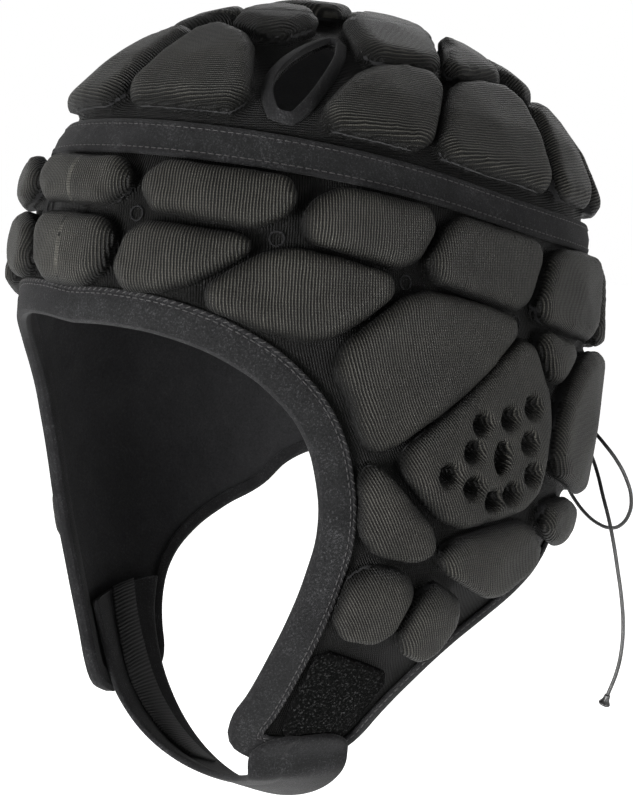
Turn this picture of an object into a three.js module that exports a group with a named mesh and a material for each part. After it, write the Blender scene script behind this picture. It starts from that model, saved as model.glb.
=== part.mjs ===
// Rugby scrum cap in millimetres: padded crown and side panel, bindings, chin strap and back drawcord.
// +Z is up, -Y is the wearer's front and +X the wearer's left. The origin is the middle of the head
// at brow height. The ground is the smooth shell that the pads rise from, the outer face of the wall.
import * as THREE from "three";

// Ground shell
const halfWidth = 92;
const frontReach = 104;
const backReach = 112;
const crownTop = 104;
const domeBase = 25;
const flapDrop = 150;
const frontSquareness = 2.3;
const backSquareness = 2.7;
const domeFullness = 1.95;

// Padded sheets
const wall = 2;
const padRise = 9;
const grooveWidth = 5.6;
const padCornerRadius = 5;
const padStep = 19;
const edgeStep = 12;
const slitHalfWidth = 3;

// Ear pad dimples
const dimpleDiameter = 5;
const earHoleWidth = 8;
const earHoleHeight = 12;
const dimpleFloor = 1.5;
const dimpleSpan = 58;

// Band, bindings, tapes and patches
const bandHeight = 42;
const bandTilt = 15;
const bandWidth = 11;
const bandMargin = 1;
const tapeThickness = 1.2;
const bindingWidth = 9.5;
const napeBindingWidth = 5;
const bindingInside = 6;
const napeBindingInside = 4;
const seatGap = 0.3;
const bandSeat = 0.55;
const ventTrimWidth = 4;
const backTapeWidth = 22;
const patchThickness = 1.4;

// Chin strap
const strapThickness = 2.6;
const strapDropFront = 17;
const strapDropBack = 31;
const strapMiddleFront = 44;
const strapMiddleBack = 14;
const strapLead = 22;
const strapTurns = 10;
const stretchBandWidth = 15;
const stretchBandThickness = 0.9;

// Drawcord
const cordDiameter = 1.5;
const cordStep = 5;
const cordGuideWidth = 22;
const cordGuideHeight = 16;
const cordGuideThickness = 4;
const cordGuideDrop = 48;
const cordEndDiameter = 5;
const cordEndLength = 4.5;

const radians = THREE.MathUtils.degToRad;

// Sections of the ground: height as a share of the flap's drop, the rest as shares of the reaches.
const sections = [
  { height: -1.0, width: 0.58, front: 0.72, back: 0.54 },
  { height: -0.73, width: 0.84, front: 0.76, back: 0.68 },
  { height: -0.47, width: 0.99, front: 0.85, back: 0.8 },
  { height: -0.2, width: 1.0, front: 0.99, back: 0.93 },
  { height: 0.0, width: 0.95, front: 1.0, back: 0.97 },
  { height: 0.17, width: 0.9, front: 0.97, back: 1.0 },
];

// Junctions of the side panel's grooves: the angle from the front in degrees, and the height as a
// share of the band's height there above the origin, or of the flap's drop below it.
const sideJunctions = {
  bandA: { angle: 15.5, height: 1 },
  bandB: { angle: 48, height: 1 },
  bandC: { angle: 77, height: 1 },
  bandD: { angle: 114, height: 1 },
  bandE: { angle: 142, height: 1 },
  bandF: { angle: 172, height: 1 },
  browA: { angle: 14, height: 0.65 },
  browB: { angle: 41, height: 0.58 },
  templeA: { angle: 68, height: 0.365 },
  templeB: { angle: 102, height: 0.05 },
  backA: { angle: 131, height: -0.067 },
  backB: { angle: 172, height: -0.107 },
  rimA: { angle: 10, height: 0.12 },
  rimB: { angle: 24.5, height: 0.12 },
  rimC: { angle: 49, height: -0.057 },
  rimD: { angle: 55, height: -0.175 },
  rimE: { angle: 56.5, height: -0.255 },
  rimF: { angle: 58, height: -0.47 },
  rimG: { angle: 53.5, height: -0.66 },
  earFront: { angle: 61.5, height: -0.267 },
  earBack: { angle: 109, height: -0.18 },
  earLow: { angle: 107, height: -0.335 },
  lobeBack: { angle: 103, height: -0.415 },
  lobeFront: { angle: 77, height: -0.44 },
  crescent: { angle: 123.5, height: -0.053 },
  napeA: { angle: 146, height: -0.082 },
  napeB: { angle: 143, height: -0.375 },
  napeC: { angle: 172, height: -0.375 },
  napeD: { angle: 130, height: -0.435 },
  napeE: { angle: 116, height: -0.38 },
  jawA: { angle: 74.5, height: -0.51 },
  jawB: { angle: 97, height: -0.627 },
  jawC: { angle: 114, height: -0.527 },
  jawD: { angle: 124, height: -0.53 },
  chinA: { angle: 69, height: -0.695 },
  chinB: { angle: 90, height: -0.6 },
  chinC: { angle: 82, height: -0.765 },
};

// Pads of the side panel by the junctions round them. A minus sign names the mirrored junction.
const centreSidePads = [
  ["-bandA", "bandA", "browA", "-browA"],
  ["-browA", "browA", "rimA", "-rimA"],
];
const pairedSidePads = [
  ["bandA", "bandB", "browB", "browA"],
  ["bandB", "bandC", "templeA", "browB"],
  ["bandC", "bandD", "templeB", "templeA"],
  ["bandD", "bandE", "backA", "templeB"],
  ["bandE", "bandF", "backB", "backA"],
  ["browA", "browB", "rimB", "rimA"],
  ["rimB", "browB", "templeA", "rimC"],
  ["rimC", "templeA", "templeB", "earFront", "rimE", "rimD"],
  ["templeB", "crescent", "earBack"],
  ["crescent", "napeA", "napeB", "napeD", "napeE", "earLow", "earBack"],
  ["napeA", "backB", "napeC", "napeB"],
  ["rimE", "earFront", "lobeFront", "jawA", "rimF"],
  ["lobeFront", "lobeBack", "jawC", "jawB", "jawA"],
  ["lobeBack", "napeE", "napeD", "jawD", "jawC"],
  ["rimF", "jawA", "chinA", "rimG"],
  ["jawA", "chinB", "chinC", "chinA"],
];
const earPad = ["templeB", "earBack", "earLow", "lobeBack", "lobeFront", "earFront"];

// Small dimples of the ear pad, from the ear hole, as shares of the dimples' span.
const earHole = { angle: 89, height: -0.277 };
const dimples = [
  { along: -0.17, up: 0.2 },
  { along: 0.06, up: 0.22 },
  { along: 0.27, up: 0.27 },
  { along: 0.24, up: 0.07 },
  { along: -0.23, up: 0.05 },
  { along: -0.4, up: -0.07 },
  { along: -0.22, up: -0.15 },
  { along: 0.28, up: -0.12 },
  { along: -0.05, up: -0.24 },
  { along: 0.1, up: -0.21 },
];

// Free edges of the side panel, from the front's middle down the cheek and back up to the nape.
const faceEdge = [
  { angle: 0, height: -0.02 },
  { angle: 12, height: -0.015 },
  { angle: 24, height: -0.03 },
  { angle: 35, height: -0.075 },
  { angle: 43, height: -0.14 },
  { angle: 48.5, height: -0.22 },
  { angle: 51.5, height: -0.32 },
  { angle: 52.5, height: -0.43 },
  { angle: 51, height: -0.53 },
  { angle: 48, height: -0.64 },
  { angle: 44, height: -0.74 },
  { angle: 39, height: -0.84 },
  { angle: 34.5, height: -0.91 },
  { angle: 34, height: -0.95 },
  { angle: 38, height: -0.985 },
  { angle: 45, height: -1.0 },
];
const napeEdge = [
  { angle: 64, height: -1.0 },
  { angle: 71, height: -0.985 },
  { angle: 75.5, height: -0.95 },
  { angle: 78, height: -0.91 },
  { angle: 84, height: -0.83 },
  { angle: 92, height: -0.75 },
  { angle: 102, height: -0.685 },
  { angle: 114, height: -0.625 },
  { angle: 125, height: -0.57 },
  { angle: 132, height: -0.5 },
  { angle: 141, height: -0.455 },
  { angle: 155, height: -0.44 },
  { angle: 168, height: -0.44 },
  { angle: 180, height: -0.44 },
];
const patchCorners = [
  { angle: 55.5, height: -0.73 },
  { angle: 72, height: -0.795 },
  { angle: 65, height: -0.935 },
  { angle: 49, height: -0.915 },
];

// Junctions of the crown's grooves in plan, x as a share of the half width and y of the front
// or back reach, or by the angle from the front alone where they lie on the band's upper edge.
const crownJunctions = {
  bandA: { angle: 0 },
  bandB: { angle: 17 },
  bandC: { angle: 34 },
  bandD: { angle: 44 },
  bandE: { angle: 58 },
  bandF: { angle: 74 },
  bandG: { angle: 94 },
  bandH: { angle: 117 },
  bandI: { angle: 136 },
  bandJ: { angle: 150 },
  bandK: { angle: 165 },
  bandL: { angle: 180 },
  frontA: { x: 0, y: -0.45 },
  frontB: { x: 0.31, y: -0.49 },
  frontC: { x: 0.38, y: -0.35 },
  frontD: { x: 0, y: -0.22 },
  frontE: { x: 0.29, y: -0.18 },
  sideA: { x: 0.57, y: -0.29 },
  sideB: { x: 0.64, y: 0.03 },
  sideC: { x: 0.6, y: 0.4 },
  sideD: { x: 0.5, y: 0.13 },
  ventA: { x: 0.41, y: -0.24 },
  topA: { x: 0.19, y: 0.07 },
  topB: { x: 0.29, y: 0.28 },
  topC: { x: 0.2, y: 0.45 },
  topD: { x: 0, y: 0.45 },
  topE: { x: 0, y: 0.07 },
  rearA: { x: 0.38, y: 0.42 },
  rearB: { x: 0.52, y: 0.62 },
  rearC: { x: 0.28, y: 0.68 },
};
const centreCrownPads = [
  ["-frontE", "frontD", "frontE", "topA", "-topA"],
  ["-topA", "topA", "topB", "topC", "-topC", "-topB"],
];
const pairedCrownPads = [
  ["bandA", "bandB", "bandC", "frontB", "frontA"],
  ["frontA", "frontB", "frontC", "frontE", "frontD"],
  ["frontE", "ventA", "sideA", "sideB", "sideD", "topB", "topA"],
  ["sideD", "sideB", "sideC", "rearA", "topB"],
  ["bandD", "bandE", "bandF", "sideB", "sideA"],
  ["bandF", "bandG", "bandH", "sideC", "sideB"],
  ["bandH", "bandI", "rearB", "sideC"],
  ["rearA", "sideC", "rearB", "rearC", "topC"],
  ["bandI", "bandJ", "bandK", "rearC", "rearB"],
  ["topC", "rearC", "bandK", "bandL", "topD"],
];
const ventCorners = [
  { x: 0.58, y: -0.62 },
  { x: 0.59, y: -0.54 },
  { x: 0.5, y: -0.34 },
  { x: 0.385, y: -0.235 },
  { x: 0.425, y: -0.46 },
  { x: 0.47, y: -0.59 },
];

// Ends of the chin strap on the flaps: its front and back edge in degrees from the front, and the
// height as a share of the flap's drop. The right end is sewn inside, the left one is the tab.
const strapSewnEnd = [
  { height: -0.79, front: 44.5, back: 83 },
  { height: -0.88, front: 41, back: 75 },
  { height: -0.98, front: 37, back: 69 },
];
const strapTabEnd = [
  { height: -1.03, front: 37.5, back: 69 },
  { height: -0.98, front: 37.5, back: 69 },
  { height: -0.955, front: 39.5, back: 68 },
  { height: -0.935, front: 43, back: 65 },
  { height: -0.922, front: 48, back: 60 },
];

// Routes of the drawcord's loop and tail, from the guide at the back out to the wearer's left.
const loopRoute = [
  [12, 105, -43], [16, 110, -42.6], [22, 115, -42], [30, 118, -41.4], [39, 117, -41], [48, 112, -41],
  [57, 105, -42], [65, 99, -44], [72, 97, -48], [77, 99, -54], [80, 102, -61], [81, 105, -69],
  [79, 107, -76], [75, 108, -81], [69, 110, -83.5], [62, 112, -83.5], [54, 114, -81], [46, 116, -76],
  [39, 118, -70], [31, 118, -64], [23, 114, -58], [16, 109, -54], [12, 105, -53],
];
const tailRoute = [
  [12, 105, -48], [17, 111, -48], [24, 116, -48], [33, 119, -48], [43, 118, -49], [52, 113, -51.5],
  [60, 107, -56], [67, 102, -62], [72, 99, -69], [76, 98, -77], [79, 98, -86], [81, 99, -96],
  [83, 100, -107], [84, 101, -118], [84, 101, -128], [82.5, 101, -137], [80, 100, -146],
];

// Value of one column at a height, on a smooth curve through the rows.
function columnAt(rows, column, height) {
  const last = rows.length - 1;
  const at = THREE.MathUtils.clamp(height, rows[0].height, rows[last].height);
  let i = rows.findIndex((row) => row.height >= at) - 1;
  i = THREE.MathUtils.clamp(i, 0, last - 1);
  const [p0, p1, p2, p3] = [i - 1, i, i + 1, i + 2].map((k) => rows[THREE.MathUtils.clamp(k, 0, last)]);
  const span = p2.height - p1.height;
  const t = (at - p1.height) / span;
  const slope = (a, b) => (span * (b[column] - a[column])) / (b.height - a.height);
  const m1 = slope(p0, p2);
  const m2 = slope(p1, p3);
  return (2 * t ** 3 - 3 * t ** 2 + 1) * p1[column] + (t ** 3 - 2 * t ** 2 + t) * m1
    + (3 * t ** 2 - 2 * t ** 3) * p2[column] + (t ** 3 - t ** 2) * m2;
}

// Half width, front reach and back reach of the ground at a height.
function groundReaches(z) {
  const height = Math.min(z, domeBase) / flapDrop;
  const rise = THREE.MathUtils.clamp((z - domeBase) / (crownTop - domeBase), 0, 1);
  const narrowing = (1 - rise ** domeFullness) ** (1 / domeFullness);
  return {
    width: halfWidth * narrowing * columnAt(sections, "width", height),
    front: frontReach * narrowing * columnAt(sections, "front", height),
    back: backReach * narrowing * columnAt(sections, "back", height),
  };
}

function groundPoint(theta, z) {
  const { width, front, back } = groundReaches(z);
  const sine = Math.sin(theta);
  const cosine = Math.cos(theta);
  const power = cosine > 0 ? frontSquareness : backSquareness;
  const reach = cosine > 0 ? front : back;
  const inverse = (Math.abs(cosine) / reach) ** power + (Math.abs(sine) / width) ** power;
  const radius = inverse ** (-1 / power);
  return new THREE.Vector3(radius * sine, -radius * cosine, z);
}

const bandCentre = (theta) => bandHeight + bandTilt * Math.cos(theta);
const bandHalf = bandWidth / 2 + bandMargin;

// The side chart unrolls the ground into millimetres round (u) and up (v).
const chartRadius = (halfWidth + frontReach) / 2;
const sideGround = (u, v) => groundPoint(u / chartRadius, v);
const sideChart = (theta, z) => new THREE.Vector2(theta * chartRadius, z);

// The crown chart is a flat disc seen from above, in millimetres of arc from the top.
const crownArc = ((crownTop - domeBase + backReach) / 2) * (Math.PI / 2) * 0.9;
function crownGround(u, v) {
  const turn = Math.min(Math.hypot(u, v) / crownArc, 1) * (Math.PI / 2);
  const z = domeBase + (crownTop - domeBase) * Math.cos(turn) ** (2 / domeFullness);
  return groundPoint(Math.atan2(u, -v), z);
}
function crownChart(theta, z) {
  const rise = THREE.MathUtils.clamp((z - domeBase) / (crownTop - domeBase), 0, 1);
  const arc = (crownArc * Math.acos(rise ** (domeFullness / 2))) / (Math.PI / 2);
  return new THREE.Vector2(arc * Math.sin(theta), -arc * Math.cos(theta));
}
function crownChartFromPlan({ x, y }) {
  const base = groundReaches(domeBase);
  const power = y < 0 ? frontSquareness : backSquareness;
  const forth = y < 0 ? (y * frontReach) / base.front : (y * backReach) / base.back;
  const share = (Math.abs((x * halfWidth) / base.width) ** power + Math.abs(forth) ** power) ** (1 / power);
  const z = domeBase + (crownTop - domeBase) * (1 - share ** domeFullness) ** (1 / domeFullness);
  const theta = Math.atan2(x * halfWidth, -y * (y < 0 ? frontReach : backReach));
  return crownChart(theta, z);
}

// Directions of a charted ground at a place: along its two chart axes and its outward normal.
function directionsAt(ground, at) {
  const step = 0.4;
  const along = ground(at.x + step, at.y).sub(ground(at.x - step, at.y)).divideScalar(2 * step);
  const across = ground(at.x, at.y + step).sub(ground(at.x, at.y - step)).divideScalar(2 * step);
  return { along, across, normal: along.clone().cross(across).normalize() };
}
const liftedPoint = (ground, at, lift) => (
  ground(at.x, at.y).addScaledVector(directionsAt(ground, at).normal, lift)
);

// Chart place that lies a true distance to the left of a heading.
function steppedAside(ground, at, heading, distance) {
  const { along, across, normal } = directionsAt(ground, at);
  const forward = along.clone().multiplyScalar(heading.x).addScaledVector(across, heading.y);
  const aside = normal.cross(forward).normalize().multiplyScalar(distance);
  const [aa, ab, bb] = [along.dot(along), along.dot(across), across.dot(across)];
  const [sa, sb] = [aside.dot(along), aside.dot(across)];
  const area = aa * bb - ab * ab;
  return new THREE.Vector2(at.x + (bb * sa - ab * sb) / area, at.y + (aa * sb - ab * sa) / area);
}
const headingAt = (path, i, closed) => {
  const count = path.length;
  const back = path[closed ? (i + count - 1) % count : Math.max(i - 1, 0)];
  const on = path[closed ? (i + 1) % count : Math.min(i + 1, count - 1)];
  return on.clone().sub(back).normalize();
};

const mirrored = (p) => new THREE.Vector2(-p.x, p.y);
const mirroredOutline = (outline) => outline.map(mirrored).reverse();

function sidePlace({ angle, height }) {
  const theta = radians(angle);
  const top = bandCentre(theta) - bandHalf;
  return sideChart(theta, height * (height > 0 ? top : flapDrop));
}
function crownPlace(place) {
  if (place.angle === undefined) return crownChartFromPlan(place);
  const theta = radians(place.angle);
  return crownChart(theta, bandCentre(theta) + bandHalf);
}
function cellOf(names, junctions, placeOf) {
  return names.map((name) => {
    const place = placeOf(junctions[name.replace("-", "")]);
    return name.startsWith("-") ? mirrored(place) : place;
  });
}

const counterclockwise = (outline) => (
  THREE.ShapeUtils.area(outline) > 0 ? outline : [...outline].reverse()
);

// Outline moved inwards by a distance, edge by edge.
function insetOutline(outline, distance) {
  const count = outline.length;
  return outline.map((corner, i) => {
    const before = corner.clone().sub(outline[(i + count - 1) % count]).normalize();
    const after = outline[(i + 1) % count].clone().sub(corner).normalize();
    const inward = new THREE.Vector2(-before.y - after.y, before.x + after.x);
    const scale = 1 + before.dot(after);
    return corner.clone().addScaledVector(inward, distance / Math.max(scale, 0.5));
  });
}

// Outline with cut corners and slightly bowed sides, in steps.
function softOutline(corners, radius, step, bow = 0.02) {
  const points = [];
  const count = corners.length;
  for (let i = 0; i < count; i += 1) {
    const corner = corners[i];
    const next = corners[(i + 1) % count];
    const last = corners[(i + count - 1) % count];
    const cutBack = Math.min(radius, corner.distanceTo(last) / 2.5);
    const cutOn = Math.min(radius, corner.distanceTo(next) / 2.5);
    const start = corner.clone().lerp(last, cutBack / corner.distanceTo(last));
    const end = corner.clone().lerp(next, cutOn / corner.distanceTo(next));
    points.push(start, end);
    const stop = next.clone().lerp(corner, cutOn / corner.distanceTo(next));
    const length = end.distanceTo(stop);
    const outward = new THREE.Vector2(stop.y - end.y, end.x - stop.x);
    const pieces = Math.ceil(length / step);
    for (let k = 1; k < pieces; k += 1) {
      const share = k / pieces;
      points.push(end.clone().lerp(stop, share).addScaledVector(outward, bow * 4 * share * (1 - share)));
    }
  }
  return points;
}

function middleOf(outline) {
  const sum = outline.reduce((total, p) => total.add(p), new THREE.Vector2());
  return sum.divideScalar(outline.length);
}

// Outline drawn in towards its middle by a distance.
function drawnIn(outline, distance) {
  const middle = middleOf(outline);
  return outline.map((p) => p.clone().lerp(middle, Math.min(0.7, distance / p.distanceTo(middle))));
}

// Whether a place lies inside the circle through three corners given counterclockwise.
function inCircle(a, b, c, place) {
  const rows = [a, b, c].map((p) => [p.x - place.x, p.y - place.y, p.distanceToSquared(place)]).flat();
  return new THREE.Matrix3().set(...rows).determinant() > 1e-6;
}

// Triangles of an outline with holes, with inner edges flipped until no triangle is needlessly long.
function plumpTriangles(outline, holes) {
  const places = [outline, ...holes].flat();
  const faces = THREE.ShapeUtils.triangulateShape(outline, holes);
  for (let flips = 1; flips > 0;) {
    flips = 0;
    const sides = new Map();
    const flippedNow = new Set();
    faces.forEach((face, i) => face.forEach((a, k) => sides.set(`${a} ${face[(k + 1) % 3]}`, [i, k])));
    for (const [i, k] of sides.values()) {
      const [a, b, c] = [0, 1, 2].map((turn) => faces[i][(k + turn) % 3]);
      const [j, m] = sides.get(`${b} ${a}`) ?? [i, k];
      const d = faces[j][(m + 2) % 3];
      const free = i !== j && !flippedNow.has(i) && !flippedNow.has(j);
      if (free && inCircle(places[a], places[b], places[c], places[d])) {
        faces[i] = [a, d, c];
        faces[j] = [d, b, c];
        flippedNow.add(i).add(j);
        flips += 1;
      }
    }
  }
  return faces;
}

// Smooth open curve through chart places, in steps of about one length.
function edgeCurve(places, step) {
  const knots = places.map((p) => new THREE.Vector3(p.x, p.y, 0));
  const curve = new THREE.CatmullRomCurve3(knots, false, "centripetal");
  const count = Math.max(2, Math.round(curve.getLength() / step));
  return curve.getSpacedPoints(count).map((p) => new THREE.Vector2(p.x, p.y));
}

// Collects vertices and triangles of one closed body.
class Body {
  constructor() {
    this.points = [];
    this.faces = [];
  }

  add(point) {
    this.points.push(point);
    return this.points.length - 1;
  }

  ring(ground, outline, lift) {
    return outline.map((p) => this.add(liftedPoint(ground, p, lift)));
  }

  bridge(lower, upper) {
    lower.forEach((a, i) => {
      const j = (i + 1) % lower.length;
      this.faces.push([a, lower[j], upper[j]], [a, upper[j], upper[i]]);
    });
  }

  fan(ring, centre) {
    ring.forEach((a, i) => this.faces.push([a, ring[(i + 1) % ring.length], centre]));
  }

  // Closes both ends of a sweep, with the section's outline where it isn't convex.
  closeEnds(first, last, section) {
    const fan = first.slice(2).map((_, k) => [0, k + 1, k + 2]);
    const faces = section ? THREE.ShapeUtils.triangulateShape(section, []) : fan;
    this.faces.push(...faces.map(([a, b, c]) => [first[c], first[b], first[a]]));
    this.faces.push(...faces.map(([a, b, c]) => [last[a], last[b], last[c]]));
  }

  mesh(name, look) {
    const geometry = new THREE.BufferGeometry();
    const position = this.points.flatMap((p) => [p.x, p.y, p.z]);
    geometry.setAttribute("position", new THREE.Float32BufferAttribute(position, 3));
    geometry.setIndex(this.faces.flat());
    geometry.computeVertexNormals();
    return namedMesh(name, geometry, look);
  }
}

function namedMesh(name, geometry, look) {
  const mesh = new THREE.Mesh(geometry, new THREE.MeshStandardMaterial({ ...look, metalness: 0 }));
  mesh.name = name;
  return mesh;
}

const padLook = { color: 0x1d1e1c, roughness: 0.62 };
const trimLook = { color: 0x1a1a1b, roughness: 0.9 };
const patchLook = { color: 0x101010, roughness: 1.0 };
const cordLook = { color: 0x0e0e0e, roughness: 0.5 };

// Rings of a pad from its foot to the edge of its top: inward distance and share of the rise.
const padRings = [
  { inward: 0.9, rise: 0.6 },
  { inward: 3.4, rise: 0.93 },
];

function addPadSides(body, ground, outline, foot) {
  let lower = foot;
  let edge = outline;
  for (const { inward, rise } of padRings) {
    edge = drawnIn(outline, inward);
    const upper = body.ring(ground, edge, padRise * rise);
    body.bridge(lower, upper);
    lower = upper;
  }
  return { edge, ring: lower };
}

function addDomedPad(body, ground, outline, foot) {
  const { ring } = addPadSides(body, ground, outline, foot);
  body.fan(ring, body.add(liftedPoint(ground, middleOf(outline), padRise)));
}

// Ear pad: a flat top pierced by blind dimples.
function addEarPad(body, ground, outline, foot, wells) {
  const { edge, ring } = addPadSides(body, ground, outline, foot);
  const topLift = padRise * padRings[padRings.length - 1].rise;
  const mouths = wells.map((well) => body.ring(ground, well, topLift));
  const top = [ring, ...mouths].flat();
  const faces = plumpTriangles(edge, wells);
  body.faces.push(...faces.map((face) => face.map((k) => top[k])));
  wells.forEach((well, i) => {
    const floor = body.ring(ground, drawnIn(well, 0.4), dimpleFloor);
    body.bridge(mouths[i], floor);
    body.fan(floor, body.add(liftedPoint(ground, middleOf(well), dimpleFloor)));
  });
}

// A sheet of the wall's thickness with pads raised on it and vents cut through it. Each place of the
// outline says how wide a margin follows the ground there before the grooves begin.
function paddedSheet(name, ground, outline, vents, pads) {
  const body = new Body();
  const edge = outline.map(({ at }) => at);
  const start = outline.map(({ at, margin }, i) => (
    margin ? steppedAside(ground, at, headingAt(edge, i, true), margin) : at
  ));
  const holes = [...vents, ...pads.map((pad) => pad.outline)];
  const faces = plumpTriangles(start, holes);
  const [outer, inner] = [0, -wall].map((lift) => {
    const rim = body.ring(ground, edge, lift);
    const inset = outline.map(({ margin }, i) => (
      margin ? body.add(liftedPoint(ground, start[i], lift)) : rim[i]
    ));
    const rings = [rim, ...holes.map((loop) => body.ring(ground, loop, lift))];
    const all = [inset, ...rings.slice(1)].flat();
    const margins = rim.flatMap((a, i) => {
      const j = (i + 1) % rim.length;
      const quad = [[a, rim[j], inset[j]], [a, inset[j], inset[i]]];
      return quad.filter((face) => new Set(face).size === 3);
    });
    const triangles = [...faces.map((face) => face.map((k) => all[k])), ...margins];
    body.faces.push(...triangles.map((face) => (lift < 0 ? face.reverse() : face)));
    return rings;
  });
  body.bridge(inner[0], outer[0]);
  vents.forEach((vent, i) => body.bridge(outer[1 + i], inner[1 + i]));
  pads.forEach((pad, i) => {
    const foot = outer[1 + vents.length + i];
    const lining = inner[1 + vents.length + i];
    if (pad.wells) addEarPad(body, ground, pad.outline, foot, pad.wells);
    else if (pad.flat) body.fan(foot, body.add(liftedPoint(ground, middleOf(pad.outline), 0)));
    else addDomedPad(body, ground, pad.outline, foot);
    body.fan([...lining].reverse(), body.add(liftedPoint(ground, middleOf(pad.outline), -wall)));
  });
  return body.mesh(name, padLook);
}

const padOutline = (cell) => (
  softOutline(insetOutline(counterclockwise(cell), grooveWidth / 2), padCornerRadius, padStep)
);
const bothSides = (outline) => [outline, counterclockwise(mirroredOutline(outline))];

// A tape or binding: a closed profile of inward distance and lift, swept along a path on the ground.
function sweptTape(name, ground, path, profile, closed, look) {
  const body = new Body();
  const count = path.length;
  const rings = path.map((at, i) => {
    const heading = headingAt(path, i, closed);
    return profile.map(({ inward, lift }) => (
      body.add(liftedPoint(ground, steppedAside(ground, at, heading, inward), lift))
    ));
  });
  const spans = closed ? count : count - 1;
  for (let i = 0; i < spans; i += 1) body.bridge(rings[i], rings[(i + 1) % count]);
  if (!closed) {
    const section = profile.map((p) => new THREE.Vector2(p.inward, p.lift));
    body.closeEnds(rings[0], rings[count - 1], section);
  }
  return body.mesh(name, look);
}

// Profile folded over the wall's free edge, its legs outside and inside.
function foldedProfile(outside, inner) {
  const skin = seatGap + tapeThickness;
  const inside = -wall - seatGap;
  return [
    { inward: outside, lift: seatGap },
    { inward: outside, lift: skin },
    { inward: -seatGap, lift: skin },
    { inward: -skin, lift: 0 },
    { inward: -skin, lift: inside },
    { inward: -seatGap, lift: inside - tapeThickness },
    { inward: inner, lift: inside - tapeThickness },
    { inward: inner, lift: inside },
    { inward: -seatGap, lift: inside },
    { inward: -seatGap, lift: seatGap },
  ];
}

function flatProfile(width, thickness, low) {
  return [
    { inward: -width / 2, lift: low },
    { inward: 0, lift: low },
    { inward: width / 2, lift: low },
    { inward: width / 2, lift: low + thickness },
    { inward: 0, lift: low + thickness },
    { inward: -width / 2, lift: low + thickness },
  ];
}

// A flat closed patch of a given outline lying on the ground.
function patchSolid(name, ground, outline, low, thickness, look) {
  const body = new Body();
  const lower = body.ring(ground, outline, low);
  const upper = body.ring(ground, outline, low + thickness);
  const middle = middleOf(outline);
  body.bridge(lower, upper);
  body.fan(upper, body.add(liftedPoint(ground, middle, low + thickness)));
  body.fan([...lower].reverse(), body.add(liftedPoint(ground, middle, low)));
  return body.mesh(name, look);
}

const facePath = edgeCurve(faceEdge.map(sidePlace), edgeStep);
const napePath = edgeCurve(napeEdge.map(sidePlace), edgeStep);
const slitAngle = Math.PI - slitHalfWidth / backReach;
const aroundSteps = Math.round((2 * Math.PI * backReach) / (1.2 * edgeStep));

const marked = (margin) => (at) => ({ at, margin });
const flipped = ({ at, margin }) => ({ at: mirrored(at), margin });
function sideOutline() {
  const top = [];
  for (let k = 0; k <= aroundSteps; k += 1) {
    const theta = slitAngle * (1 - (2 * k) / aroundSteps);
    top.push(sideChart(theta, bandCentre(theta) - seatGap / 2));
  }
  const slitTop = bandCentre(slitAngle) - seatGap / 2;
  const slitFoot = sidePlace(napeEdge[napeEdge.length - 1]).y;
  const slit = [0.2, 0.4, 0.6, 0.8].map((share) => (
    sideChart(slitAngle, THREE.MathUtils.lerp(slitFoot, slitTop, share))
  ));
  const nape = napePath.filter((p) => p.x < slitAngle * chartRadius - edgeStep / 3);
  const left = [
    ...facePath.slice(1).map(marked(bindingInside + 1)),
    ...nape.map(marked(napeBindingInside + 0.5)),
    ...[sideChart(slitAngle, slitFoot), ...slit].map(marked(0)),
  ];
  const front = marked(bindingInside + 1)(facePath[0]);
  return [...left.map(flipped).reverse(), front, ...left, ...top.slice(0, -1).map(marked(0))];
}

// Wells of the ear pad: the oval ear hole and the small dimples round it.
function ellipse(centre, width, height, sides) {
  return Array.from({ length: sides }, (_, k) => {
    const turn = (2 * Math.PI * (k + 0.5)) / sides;
    return new THREE.Vector2((width / 2) * Math.cos(turn), (height / 2) * Math.sin(turn)).add(centre);
  });
}
function earWells() {
  const middle = sidePlace(earHole);
  const small = dimples.map(({ along, up }) => {
    const centre = middle.clone().add(new THREE.Vector2(along * dimpleSpan, up * dimpleSpan));
    return ellipse(centre, dimpleDiameter, dimpleDiameter, 7);
  });
  return [ellipse(middle, earHoleWidth, earHoleHeight, 10), ...small];
}

function sidePanel() {
  const cell = (names) => padOutline(cellOf(names, sideJunctions, sidePlace));
  const ear = cell(earPad);
  const wells = earWells();
  const plain = softOutline(insetOutline(counterclockwise(patchCorners.map(sidePlace)), 1), 3, edgeStep);
  const pads = [
    ...centreSidePads.map((names) => ({ outline: cell(names) })),
    ...pairedSidePads.flatMap((names) => bothSides(cell(names)).map((outline) => ({ outline }))),
    { outline: ear, wells },
    { outline: counterclockwise(mirroredOutline(ear)), wells: wells.map(mirroredOutline) },
    ...bothSides(plain).map((outline) => ({ outline, flat: true })),
  ];
  return paddedSheet("side_panel", sideGround, sideOutline(), [], pads);
}

function ventOutline() {
  return softOutline(counterclockwise(ventCorners.map(crownChartFromPlan)), 4, edgeStep);
}
function crownPanel() {
  const steps = Math.round(aroundSteps * 0.8);
  const outline = Array.from({ length: steps }, (_, k) => {
    const theta = (2 * Math.PI * k) / steps;
    return crownChart(theta, bandCentre(theta) + seatGap / 2);
  });
  const cell = (names) => padOutline(cellOf(names, crownJunctions, crownPlace));
  const pads = [
    ...centreCrownPads.map((names) => ({ outline: cell(names) })),
    ...pairedCrownPads.flatMap((names) => bothSides(cell(names)).map((pad) => ({ outline: pad }))),
  ];
  return paddedSheet("crown_panel", crownGround, outline.map(marked(0)), bothSides(ventOutline()), pads);
}

function crownBand() {
  const body = new Body();
  const rings = Array.from({ length: aroundSteps }, (_, k) => {
    const theta = (2 * Math.PI * k) / aroundSteps;
    return flatProfile(bandWidth, tapeThickness, bandSeat).map(({ inward, lift }) => (
      body.add(liftedPoint(sideGround, sideChart(theta, bandCentre(theta) + inward), lift))
    ));
  });
  rings.forEach((ring, i) => body.bridge(ring, rings[(i + 1) % aroundSteps]));
  return body.mesh("crown_band", trimLook);
}

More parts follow.
